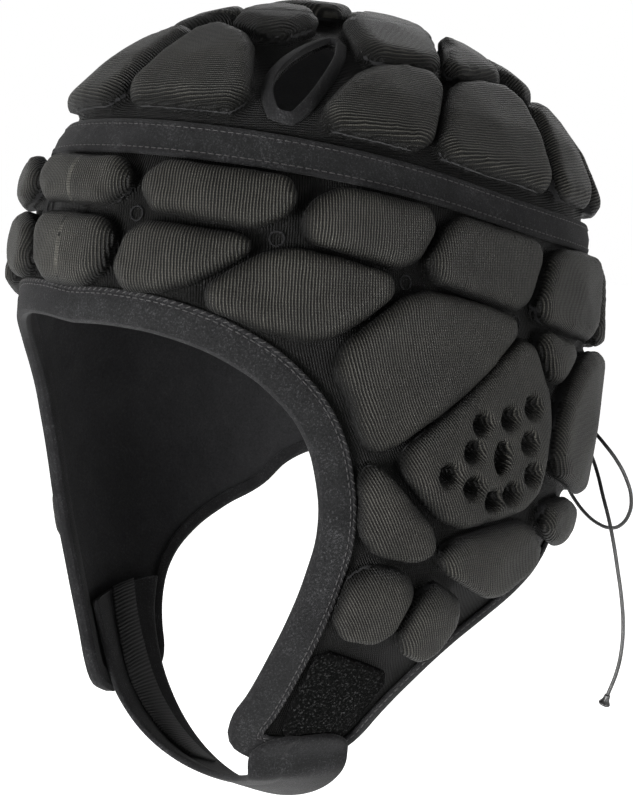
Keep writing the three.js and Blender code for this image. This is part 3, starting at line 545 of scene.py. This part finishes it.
def stitch_row(name, points, normals, pitch, length, radius, slant=0.0):
    """Threads along a line of points, each lying on the surface that has the given normals."""
    lengths = np.cumsum([0] + [(b - a).length for a, b in zip(points, points[1:])])
    stops = np.arange(pitch / 2, lengths[-1], pitch)
    verts, faces = [], []
    for stop in stops:
        i = min(int(np.searchsorted(lengths, stop)), len(points) - 1)
        share = (stop - lengths[i - 1]) / (lengths[i] - lengths[i - 1])
        middle = points[i - 1].lerp(points[i], share)
        normal = normals[i - 1].lerp(normals[i], share).normalized()
        along = (points[i] - points[i - 1]).normalized()
        aside = normal.cross(along)
        along = (along + aside * slant).normalized()
        aside = normal.cross(along)
        base = len(verts)
        for place, thickness in STITCH_RINGS:
            dip = normal * (radius * 0.9 * (1 - thickness))
            for k in range(STITCH_SIDES):
                angle = 2 * math.pi * k / STITCH_SIDES
                offset = (aside * math.cos(angle) + normal * math.sin(angle)) * radius * thickness
                verts.append(middle + along * place * length + offset - dip)
        for ring in range(len(STITCH_RINGS) - 1):
            for k in range(STITCH_SIDES):
                m = (k + 1) % STITCH_SIDES
                low, high = base + ring * STITCH_SIDES, base + (ring + 1) * STITCH_SIDES
                faces.append((low + m, low + k, high + k, high + m))
        faces.append(tuple(base + k for k in range(STITCH_SIDES)))
        top = base + (len(STITCH_RINGS) - 1) * STITCH_SIDES
        faces.append(tuple(top + k for k in reversed(range(STITCH_SIDES))))
    piece = mesh_piece(name, verts, faces, [(0, 0)] * len(verts), THREAD)
    bpy.ops.object.select_all(action="DESELECT")
    piece.select_set(True)
    bpy.context.view_layer.objects.active = piece
    bpy.ops.object.mode_set(mode="EDIT")
    bpy.ops.mesh.select_all(action="SELECT")
    bpy.ops.mesh.normals_make_consistent(inside=False)
    bpy.ops.object.mode_set(mode="OBJECT")
    return piece


def stitched_tape(name, path, inward, lift, pitch=2.6, length=1.9, radius=0.22, closed=False, slant=0.0):
    """A row of stitches at a distance from a path on the ground."""
    points, normals = [], []
    for i, place in enumerate(path):
        aside = stepped_aside(place, heading_at(path, i, closed), inward)
        round_it, upwards = ground_directions(aside)
        normals.append(round_it.cross(upwards).normalized())
        points.append(lifted(aside, lift))
    if closed:
        points.append(points[0])
        normals.append(normals[0])
    return stitch_row(name, points, normals, pitch, length, radius, slant=slant)


# %% [markdown]
# ## The padded sheets
# Crown and side are each one sheet: foam pads pressed between two layers of knit. The frame's solid
# has every pad, groove, vent and dimple in facets. A copy is remeshed to fine even squares and
# smoothed, which rounds the pads the way foam does. The pads are then swelled sideways, which keeps
# the grooves narrow, and the ear pads' dimples are pressed in with a soft rim.

# %% Remesh and smooth the pads
CROWN_SQUARE = 1.3
SIDE_SQUARE = 1.6
SIDE_ROUNDS, CROWN_ROUNDS, LAST_ROUNDS = 5, 7, 3
SLOPE_STEP = 0.5
INSIDE_LEAN = -0.35
HEIGHTS = np.linspace(SECTIONS[0][0], SECTIONS[-1][0], 118)
SHARES = [[section_share(column, height) for height in HEIGHTS] for column in (1, 2, 3)]
SWELL = 2.3
TOPS_KEPT = 0.85
SWELL_START, SWELL_FULL = 0.8, 4.5
GROOVE_LOW, GROOVE_HIGH = 1.5, 9.0
EAR_ANGLE, EAR_HEIGHT = math.radians(89), -0.277 * FLAP_DROP
DIMPLE_SPAN, DIMPLE_FLOOR = 58.0, 1.5
DIMPLE_INNER, DIMPLE_OUTER = 2.4, 3.8
EAR_OVAL = 0.67
HOLE_NEAR, HOLE_FAR = 4.0, 6.5
RIM_RADIUS, RIM_WIDTH, RIM_RISE = 4.6, 0.9, 0.35
# shares of the span round and up from the ear hole
DIMPLES = [
    (-0.17, 0.2), (0.06, 0.22), (0.27, 0.27), (0.24, 0.07), (-0.23, 0.05),
    (-0.4, -0.07), (-0.22, -0.15), (0.28, -0.12), (-0.05, -0.24), (0.1, -0.21),
]


def vertex_array(mesh, field="vertices", part="co"):
    values = np.empty(len(mesh.vertices) * 3)
    getattr(mesh, field).foreach_get(part, values)
    return values.reshape(-1, 3)


def shell_radius(theta, z):
    """The shell's distance from the upright axis, for arrays of angles and heights."""
    rise = np.clip((z - DOME_BASE) / (CROWN_TOP - DOME_BASE), 0, 1)
    narrowing = np.maximum(1 - rise**DOME_FULLNESS, 0.000001) ** (1 / DOME_FULLNESS)
    height = np.minimum(z, DOME_BASE) / FLAP_DROP
    width, front, rear = (np.interp(height, HEIGHTS, share) * narrowing for share in SHARES)
    ahead = np.cos(theta) > 0
    power = np.where(ahead, FRONT_SQUARENESS, BACK_SQUARENESS)
    reach = np.where(ahead, front * FRONT_REACH, rear * BACK_REACH)
    both = (np.abs(np.cos(theta)) / reach) ** power + (np.abs(np.sin(theta)) / (width * HALF_WIDTH)) ** power
    return both ** (-1 / power)


def shell_lift(places):
    """How far places stand off the shell, in millimetres."""
    theta = np.arctan2(places[:, 0], -places[:, 1])
    radius = shell_radius(theta, places[:, 2])
    slope = (shell_radius(theta, places[:, 2] + SLOPE_STEP) - radius) / SLOPE_STEP
    return (np.hypot(places[:, 0], places[:, 1]) - radius) / np.sqrt(1 + slope**2)


def eased(values, start, full):
    share = np.clip((values - start) / (full - start), 0, 1)
    return share * share * (3 - 2 * share)


def swell(mesh):
    """Push the pads' sides out, keep their tops, then press the ear pads' dimples in."""
    places = vertex_array(mesh) / MM
    lift = shell_lift(places)
    round_it = np.abs(np.arctan2(places[:, 0], -places[:, 1])) * CHART_RADIUS
    outwards = places * np.array([1, 1, 0]) / np.hypot(places[:, 0], places[:, 1])[:, None]
    middle = EAR_ANGLE * CHART_RADIUS
    nearest = np.hypot(round_it - middle, (places[:, 2] - EAR_HEIGHT) * EAR_OVAL)
    for along, up in DIMPLES:
        centre = (middle + along * DIMPLE_SPAN, EAR_HEIGHT + up * DIMPLE_SPAN)
        nearest = np.minimum(nearest, np.hypot(round_it - centre[0], places[:, 2] - centre[1]))
    near = (1 - eased(nearest, HOLE_NEAR, HOLE_FAR))[:, None]
    facing = vertex_array(mesh, "vertex_normals", "vector")
    away = places * np.array([1, 1, 0]) + np.maximum(places[:, 2:3] - DOME_BASE, 0) * np.array([0, 0, 1.2])
    away /= np.linalg.norm(away, axis=1)[:, None]
    facing -= away * ((facing * away).sum(axis=1) * TOPS_KEPT)[:, None]
    way = facing * (1 - near) + outwards * near * (1 - TOPS_KEPT)
    places += way * (SWELL * eased(lift, SWELL_START, SWELL_FULL))[:, None]
    lift = shell_lift(places)
    for along, up in DIMPLES:
        centre = (EAR_ANGLE * CHART_RADIUS + along * DIMPLE_SPAN, EAR_HEIGHT + up * DIMPLE_SPAN)
        away = np.hypot(round_it - centre[0], places[:, 2] - centre[1])
        inside = 1 - eased(away, DIMPLE_INNER, DIMPLE_OUTER)
        rim = RIM_RISE * np.exp(-(((away - RIM_RADIUS) / RIM_WIDTH) ** 2))
        move = np.where(lift > DIMPLE_FLOOR, rim - inside * (lift - DIMPLE_FLOOR), 0)
        places += outwards * move[:, None]
        lift = lift + move
    mesh.vertices.foreach_set("co", (places * MM).ravel())
    mesh.update()


def padded_sheet(node, name, square, rounds, cloth_of):
    piece = merged_copy(node, name)
    piece.data.remesh_voxel_size = square * MM
    piece.data.remesh_voxel_adaptivity = 0
    bpy.ops.object.voxel_remesh()
    use_modifier(piece, "SMOOTH", factor=0.5, iterations=rounds)
    mesh = piece.data
    swell(mesh)
    use_modifier(piece, "SMOOTH", factor=0.5, iterations=LAST_ROUNDS)
    mesh.materials.clear()
    mesh.materials.append(KNIT)
    mesh.materials.append(LINING)
    places = vertex_array(mesh)
    facing = vertex_array(mesh, "vertex_normals", "vector")
    cloth = cloth_of(places / MM, facing)
    # How high each place stands off the shell, which the knit turns into painted shade in the grooves.
    rise = mesh.attributes.new("rise", "FLOAT", "POINT")
    rise.data.foreach_set("value", eased(shell_lift(places / MM), GROOVE_LOW, GROOVE_HIGH))
    uv = mesh.uv_layers.new(name="cloth")
    corners = np.empty(len(mesh.loops), dtype=int)
    mesh.loops.foreach_get("vertex_index", corners)
    uv.data.foreach_set("uv", (cloth[corners] * MM).ravel())
    normals = np.empty(len(mesh.polygons) * 3)
    mesh.polygons.foreach_get("normal", normals)
    centres = np.empty(len(mesh.polygons) * 3)
    mesh.polygons.foreach_get("center", centres)
    normals, centres = normals.reshape(-1, 3), centres.reshape(-1, 3)
    outwards = centres / np.linalg.norm(centres, axis=1)[:, None]
    inside = (normals * outwards).sum(axis=1) < INSIDE_LEAN
    mesh.polygons.foreach_set("material_index", inside.astype(np.int32))
    mesh.shade_smooth()
    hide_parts(node)
    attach(piece, "root")
    print(name, "squares", len(mesh.polygons))
    return piece


LEAN_START = 12.0
LEAN_RAMP = 45.0
LEAN = 0.5
RIB_FOLLOW = 0.12


def side_cloth(places, facing):
    """Millimetres across the ribs, which stand upright and lean back on the cheeks, and along them."""
    theta = np.arctan2(np.abs(places[:, 0]), -places[:, 1])
    depth = np.maximum(LEAN_START - places[:, 2], 0)
    lean = LEAN * (np.minimum(depth, LEAN_RAMP) ** 2 / (2 * LEAN_RAMP) + np.maximum(depth - LEAN_RAMP, 0))
    turn = np.arctan2(places[:, 0], -places[:, 1])
    sideways = (facing[:, 0] * np.cos(turn) + facing[:, 1] * np.sin(turn)) * np.sign(places[:, 0])
    lift = np.maximum(shell_lift(places), 0)
    across = RIB_PITCH / 4 + theta * CHART_RADIUS - lean - RIB_FOLLOW * lift * sideways
    return np.stack([across, places[:, 2]], axis=1)


def crown_cloth(places, facing):
    """Millimetres across the ribs, which run level round the crown, and along them."""
    theta = np.arctan2(places[:, 0], -places[:, 1])
    sideways = np.hypot(places[:, 0] / HALF_WIDTH, places[:, 1] / BACK_REACH)
    level = np.arctan2(sideways, places[:, 2] / CROWN_TOP)
    ahead = (facing[:, 0] * np.sin(theta) - facing[:, 1] * np.cos(theta)) * np.cos(level)
    downwards = ahead - facing[:, 2] * np.sin(level)
    lift = np.maximum(shell_lift(places), 0)
    across = level * CROWN_TOP - RIB_FOLLOW * lift * downwards
    return np.stack([across, np.abs(theta) * CHART_RADIUS], axis=1)


padded_sheet("side_panel", "padded_side", SIDE_SQUARE, SIDE_ROUNDS, side_cloth)
padded_sheet("crown_panel", "padded_crown", CROWN_SQUARE, CROWN_ROUNDS, crown_cloth)

# %% [markdown]
# ## Bindings and band
# The free edges are folded into a jersey binding, stitched near its inner edge over a raised seam.
# The band hides the seam between crown and side.

# %% Edge paths
BAND_HEIGHT, BAND_TILT, BAND_WIDTH = 42.0, 15.0, 11.0
BAND_MARGIN = 1.0
BAND_SEAT = 0.55
TAPE_THICKNESS = 1.2
BINDING_WIDTH, BINDING_INSIDE = 9.5, 6.0
NAPE_BINDING_WIDTH, NAPE_BINDING_INSIDE = 5.0, 4.0
# angle from the front in degrees, and height as a share of the flap's drop
FACE_EDGE = [
    (0, -0.02), (12, -0.015), (24, -0.03), (35, -0.075), (43, -0.14), (48.5, -0.22), (51.5, -0.32),
    (52.5, -0.43), (51, -0.53), (48, -0.64), (44, -0.74), (39, -0.84), (34.5, -0.91), (34, -0.95),
    (38, -0.985), (45, -1.0),
]
NAPE_EDGE = [
    (64, -1.0), (71, -0.985), (75.5, -0.95), (78, -0.91), (84, -0.83), (92, -0.75), (102, -0.685),
    (114, -0.625), (125, -0.57), (132, -0.5), (141, -0.455), (155, -0.44), (168, -0.44), (180, -0.44),
]


def band_centre(theta):
    return BAND_HEIGHT + BAND_TILT * math.cos(theta)


def side_place(angle, height):
    theta = math.radians(angle)
    top = band_centre(theta) - BAND_WIDTH / 2 - BAND_MARGIN
    return (theta * CHART_RADIUS, height * (top if height > 0 else FLAP_DROP))


def mirrored(path):
    return [(-x, y) for x, y in reversed(path)]


def folded_section(outside, inside):
    """A binding's section: inward distance and lift, folded over the wall's free edge."""
    skin = SEAT_GAP + TAPE_THICKNESS
    under = -WALL - SEAT_GAP
    return [
        (outside, SEAT_GAP), (outside, skin), (outside / 2, skin + 0.35), (-SEAT_GAP, skin),
        (-skin, -0.2), (-skin, under + 0.2), (-SEAT_GAP, under - TAPE_THICKNESS),
        (inside, under - TAPE_THICKNESS), (inside, under), (-SEAT_GAP, under), (-SEAT_GAP, SEAT_GAP),
    ]


face_half = smooth_path([side_place(*row) for row in FACE_EDGE], PATH_STEP)
face_path = mirrored(face_half[1:]) + face_half
nape_half = smooth_path([side_place(*row) for row in NAPE_EDGE], PATH_STEP)
full_turn = 2 * math.pi * CHART_RADIUS
nape_path = nape_half[1:-1] + [nape_half[-1]] + [(full_turn - x, y) for x, y in reversed(nape_half[1:-1])]

# %% Face binding
face_binding = tape("face_edge_binding", face_path, folded_section(BINDING_WIDTH, BINDING_INSIDE))
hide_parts("face_binding")
SEAM_RADIUS = 0.75


def seam_cord(name, path, inward, lift, radius, closed=False):
    """A rounded ridge of jersey over the cut edge of a tape."""
    sides = 8
    section = []
    for k in range(sides):
        angle = -2 * math.pi * k / sides
        section.append((inward + radius * math.cos(angle), lift + radius * math.sin(angle)))
    return tape(name, path, section, closed, soften=0.0001)


seam_cord("face_seam", face_path, BINDING_WIDTH + 0.2, SEAT_GAP + SEAM_RADIUS, SEAM_RADIUS)
skin = SEAT_GAP + TAPE_THICKNESS
stitched_tape("face_stitches", face_path, BINDING_WIDTH - 1.1, skin + 0.12)
stitched_tape("face_seam_stitches", face_path, BINDING_WIDTH + 0.2, SEAT_GAP + 2 * SEAM_RADIUS, slant=0.7)

# %% Nape binding
nape_section = folded_section(NAPE_BINDING_WIDTH, NAPE_BINDING_INSIDE)
nape_binding = tape("nape_edge_binding", nape_path, nape_section)
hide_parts("nape_binding")
stitched_tape("nape_stitches", nape_path, NAPE_BINDING_WIDTH - 1.0, skin + 0.12)

# %% Crown band
band_steps = 240
band_path = []
for k in range(band_steps):
    theta = 2 * math.pi * k / band_steps
    band_path.append((theta * CHART_RADIUS, band_centre(theta)))


def band_rings(section):
    rings, cloth = [], []
    for k, (x, z) in enumerate(band_path):
        rings.append([lifted((x, z + up), lift) for up, lift in section])
        cloth += [(up, k * full_turn / band_steps) for up, lift in section]
    return rings, cloth


half = BAND_WIDTH / 2
high = BAND_SEAT + TAPE_THICKNESS
band_section = [
    (-half, BAND_SEAT), (0, BAND_SEAT), (half, BAND_SEAT), (half, high - 0.2),
    (half * 0.75, high + 0.1), (half * 0.66, high - 0.15), (0, high + 0.25),
    (-half * 0.66, high - 0.15), (-half * 0.75, high + 0.1), (-half, high - 0.2),
]
rings, cloth = band_rings(band_section)
band = ringed("band", rings, cloth, True, JERSEY)
use_modifier(band, "BEVEL", width=0.3 * MM, segments=2, limit_method="ANGLE", angle_limit=math.radians(40))
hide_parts("crown_band")
for row, up in (("upper", half * 0.66), ("lower", -half * 0.66)):
    rings, cloth = band_rings([(up, high)])
    points = [ring[0] for ring in rings]
    normals = [(lifted((x, z + up), 2) - lifted((x, z + up), 0)).normalized() for x, z in band_path]
    stitch_row(f"band_stitches_{row}", points + points[:1], normals + normals[:1], 2.6, 1.9, 0.22)

# %% [markdown]
# ## Pressed circles
# Where grooves meet, the press leaves a small ring in the cloth. Each is a fine ridge on the ground.

# %% Rings at the groove junctions
RING_RADIUS, RING_RIDGE, RING_LIFT = 2.3, 0.32, 0.15
RING_STEPS = 24
JUNCTIONS = {"brow_a": (14, 0.65), "brow_b": (41, 0.58), "temple_a": (68, 0.365), "temple_b": (102, 0.05)}
for junction, (angle, height) in JUNCTIONS.items():
    for side_name, sign in (("left", 1), ("right", -1)):
        x, y = side_place(sign * angle, height)
        circle = []
        for k in range(RING_STEPS):
            turn = 2 * math.pi * k / RING_STEPS
            circle.append((x + RING_RADIUS * math.cos(turn), y + RING_RADIUS * math.sin(turn)))
        seam_cord(f"ring_{junction}_{side_name}", circle, 0, RING_LIFT, RING_RIDGE, closed=True)

# %% [markdown]
# ## Vent lips, back tape, guide and patch
# These small pieces keep the frame's shape. A merged copy gets creased long edges and subdivision,
# which rounds it along its length and leaves its edges crisp.

# %% Small tapes from the frame
def soft_copy(node, name, material, levels=2, crease=0.75, angle=50):
    piece = merged_copy(node, name)
    bpy.ops.object.mode_set(mode="EDIT")
    bpy.ops.mesh.select_all(action="SELECT")
    bpy.ops.mesh.tris_convert_to_quads(face_threshold=math.radians(40), shape_threshold=math.radians(60))
    bpy.ops.mesh.select_all(action="DESELECT")
    bpy.ops.mesh.select_mode(type="EDGE")
    bpy.ops.mesh.edges_select_sharp(sharpness=math.radians(angle))
    bpy.ops.transform.edge_crease(value=crease)
    bpy.ops.object.mode_set(mode="OBJECT")
    use_modifier(piece, "SUBSURF", levels=levels, render_levels=levels)
    piece.data.materials.clear()
    piece.data.materials.append(material)
    piece.data.shade_smooth()
    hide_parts(node)
    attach(piece, "root")
    return piece


soft_copy("vent_trim_left", "vent_lip_left", JERSEY)
soft_copy("vent_trim_right", "vent_lip_right", JERSEY)
soft_copy("back_tape", "slit_tape", JERSEY)
soft_copy("cord_guide", "guide", JERSEY)
patch = soft_copy("loop_patch", "fastening_patch", PILE, crease=1.0, angle=30)
PATCH_GROWTH = 1.25
middle = sum((vertex.co for vertex in patch.data.vertices), Vector()) / len(patch.data.vertices)
for vertex in patch.data.vertices:
    vertex.co = middle + (vertex.co - middle) * PATCH_GROWTH
knob = soft_copy("cord_end", "cord_knob", CORD, crease=0.3)

# %% [markdown]
# ## The chin strap
# The strap is sewn inside the right flap, hangs under the chin and fastens outside the left flap
# with a rounded tab. Its two long edges are bound, so they stand a little higher than its middle.

# %% Strap stations
STRAP_THICKNESS = 2.6
STRAP_DROP_FRONT, STRAP_DROP_BACK = 17.0, 31.0
STRAP_MIDDLE_FRONT, STRAP_MIDDLE_BACK = 44.0, 14.0
STRAP_LEAD = math.radians(22)
PATCH_THICKNESS = 1.4
STRAP_FINE = 60
# height as a share of the flap's drop, then the front and back edge in degrees from the front
STRAP_SEWN_END = [(-0.79, 44.5, 83), (-0.88, 41, 75), (-0.98, 37, 69)]
STRAP_TAB_END = [(-1.03, 37.5, 69), (-0.98, 37.5, 69), (-0.955, 39.5, 68), (-0.935, 43, 65), (-0.922, 48, 60)]


def end_station(row, side, lift):
    station = []
    for angle in (row[1], (row[1] + row[2]) / 2, row[2]):
        point = lifted(side_place(angle, row[0]), lift)
        point.x *= side
        station.append(point)
    return station


def under_chin(start, stop, drop, reach, share):
    turn = STRAP_LEAD + (math.pi - 2 * STRAP_LEAD) * share
    fall = (math.sin(turn) - math.sin(STRAP_LEAD)) / (1 - math.sin(STRAP_LEAD))
    span = (-start.x * (1 - share) + stop.x * share) / math.cos(STRAP_LEAD)
    level = start.lerp(stop, share)
    y = level.y * (1 - fall) - reach * fall
    z = level.z * (1 - fall) - (FLAP_DROP + drop) * fall
    return Vector((-span * math.cos(turn), y, z))


inside_lift = -WALL - TAPE_THICKNESS - 3 * SEAT_GAP - STRAP_THICKNESS / 2
outside_lift = 2 * SEAT_GAP + PATCH_THICKNESS + STRAP_THICKNESS / 2
sewn = [end_station(row, -1, inside_lift) for row in STRAP_SEWN_END]
tab = [end_station(row, 1, outside_lift) for row in STRAP_TAB_END]
drops = (STRAP_DROP_FRONT, (STRAP_DROP_FRONT + STRAP_DROP_BACK) / 2, STRAP_DROP_BACK)
reaches = (STRAP_MIDDLE_FRONT, (STRAP_MIDDLE_FRONT + STRAP_MIDDLE_BACK) / 2, STRAP_MIDDLE_BACK)
stations = list(sewn)
for k in range(1, 10):
    columns = zip(sewn[-1], tab[0], drops, reaches)
    stations.append([under_chin(start, stop, drop, reach, k / 10) for start, stop, drop, reach in columns])
stations += tab


def finer(stations, count):
    """Stations at even steps on smooth curves through the given ones."""
    middles = [station[1] for station in stations]
    lengths = np.cumsum([0] + [(b - a).length for a, b in zip(middles, middles[1:])])
    stops = np.linspace(0, lengths[-1], count)
    last = len(stations) - 1
    fine = []
    for stop in stops:
        i = min(max(int(np.searchsorted(lengths, stop)) - 1, 0), last - 1)
        t = (stop - lengths[i]) / (lengths[i + 1] - lengths[i])
        rows = [stations[min(max(k, 0), last)] for k in (i - 1, i, i + 1, i + 2)]
        station = []
        for before, start, end, after in zip(*rows):
            leave = (end - before) / 2
            arrive = (after - start) / 2
            station.append(
                start * (2 * t**3 - 3 * t**2 + 1) + leave * (t**3 - 2 * t**2 + t)
                + end * (3 * t**2 - 2 * t**3) + arrive * (t**3 - t**2)
            )
        fine.append(station)
    return fine, stops


def across_station(station, share):
    front, middle, rear = station
    return (
        front * ((2 * share - 1) * (share - 1)) + middle * (4 * share * (1 - share))
        + rear * (share * (2 * share - 1))
    )


def strap_frame(stations, i, share):
    before, after = stations[max(i - 1, 0)], stations[min(i + 1, len(stations) - 1)]
    along = across_station(after, share) - across_station(before, share)
    aside = across_station(stations[i], share + 0.05) - across_station(stations[i], share - 0.05)
    return aside.cross(along).normalized()


def strap_strip(name, stations, stops, section, material):
    rings, cloth = [], []
    for i, station in enumerate(stations):
        width = (station[0] - station[2]).length
        ring = []
        for share, lift in section(width):
            ring.append(across_station(station, share) + strap_frame(stations, i, share) * lift)
            cloth.append((stops[i], share * width))
        rings.append(ring)
    return ringed(name, rings, cloth, False, material)


# %% Strap body
# share of the width, and lift as a share of half the thickness
STRAP_OUTSIDE = [(0.0, 0.6), (0.03, 0.95), (0.16, 1.1), (0.28, 0.85), (0.31, 0.45), (0.34, 0.8), (0.5, 0.95),
                 (0.66, 0.9), (0.8, 0.95), (0.97, 0.9), (1.0, 0.5)]


def strap_section(width):
    half = STRAP_THICKNESS / 2
    outside = [(share, lift * half) for share, lift in STRAP_OUTSIDE]
    inside = [(share, -lift * half) for share, lift in reversed(STRAP_OUTSIDE)]
    return outside + inside


strap_stations, strap_stops = finer(stations, STRAP_FINE)
strap = strap_strip("strap", strap_stations, strap_stops, strap_section, JERSEY)
use_modifier(strap, "SUBSURF", levels=1, render_levels=1)
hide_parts("chin_strap")

# %% Stretch band inside the strap
STRETCH_WIDTH, STRETCH_THICKNESS = 15.0, 0.9


def stretch_section(width):
    half = STRETCH_WIDTH / width / 2
    high = -STRAP_THICKNESS / 2 * 1.1 - 0.1
    low = high - STRETCH_THICKNESS
    return [
        (0.5 - half, low), (0.5 - half, high), (0.5, high), (0.5 + half, high), (0.5 + half, low), (0.5, low),
    ]


reach = round(STRAP_FINE * 0.5)
stretch = strap_strip(
    "stretch_band", strap_stations[:reach], strap_stops[:reach], stretch_section, ELASTIC
)
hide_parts("strap_stretch_band")

# %% Attach the cords
for piece, nodes in ((loop, "drawcord_loop"), (tail, "drawcord_tail")):
    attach(piece, "root")
    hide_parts(nodes)

# %% [markdown]
# ## Stage and light
# The floor is pale and lies well below the cap. The sky is white all round and dark overhead, so
# the lower sides of the pads catch more light than their tops, as in the photograph. Two low soft
# lights stand in front and to the wearer's left, and a weak one behind.

# %% Floor and lights
FLOOR_DROP = 0.12
FLOOR_SIZE = 12
FLOOR_GLOW = 0.75
SKY_TURNS, SKY_DARK = 0.42, 0.62
OVERHEAD = (0.1, 0.1, 0.1)
bpy.ops.mesh.primitive_plane_add(size=FLOOR_SIZE, location=(0, 0, cad_low.z - FLOOR_DROP))
floor = bpy.context.object
floor.name = "floor"
paint, tree, shader = new_material("pale_floor", 0.9, 0.1)
shader.inputs["Base Color"].default_value = (0.9, 0.9, 0.9, 1)
shader.inputs["Emission Color"].default_value = (1, 1, 1, 1)
shader.inputs["Emission Strength"].default_value = FLOOR_GLOW
floor.data.materials.append(paint)

world = bpy.data.worlds.new("studio")
world.use_nodes = True
sky = world.node_tree
parts = sky.nodes.new("ShaderNodeSeparateXYZ")
sky.links.new(sky.nodes.new("ShaderNodeTexCoord").outputs["Generated"], parts.inputs[0])
shades = colour_steps(sky, parts.outputs[2], [(SKY_TURNS, (1, 1, 1)), (SKY_DARK, OVERHEAD)])
sky.links.new(shades, sky.nodes["Background"].inputs[0])
world.node_tree.nodes["Background"].inputs[1].default_value = 1.0
bpy.context.scene.world = world


def soft_light(name, azimuth, rise, distance, size, power):
    turn, lift = math.radians(azimuth), math.radians(rise)
    way = Vector((math.sin(turn) * math.cos(lift), -math.cos(turn) * math.cos(lift), math.sin(lift)))
    bpy.ops.object.light_add(type="AREA", location=way * distance)
    light = bpy.context.object
    light.name = name
    light.rotation_mode = "QUATERNION"
    light.rotation_quaternion = way.to_track_quat("Z", "Y")
    light.data.size = size
    light.data.energy = power


soft_light("key_light", 8, -8, 1.1, 0.35, 30)
soft_light("side_light", 80, -16, 1.2, 0.35, 22)
soft_light("back_light", 215, 40, 1.3, 0.8, 5)
bpy.context.scene.view_settings.view_transform = "Standard"
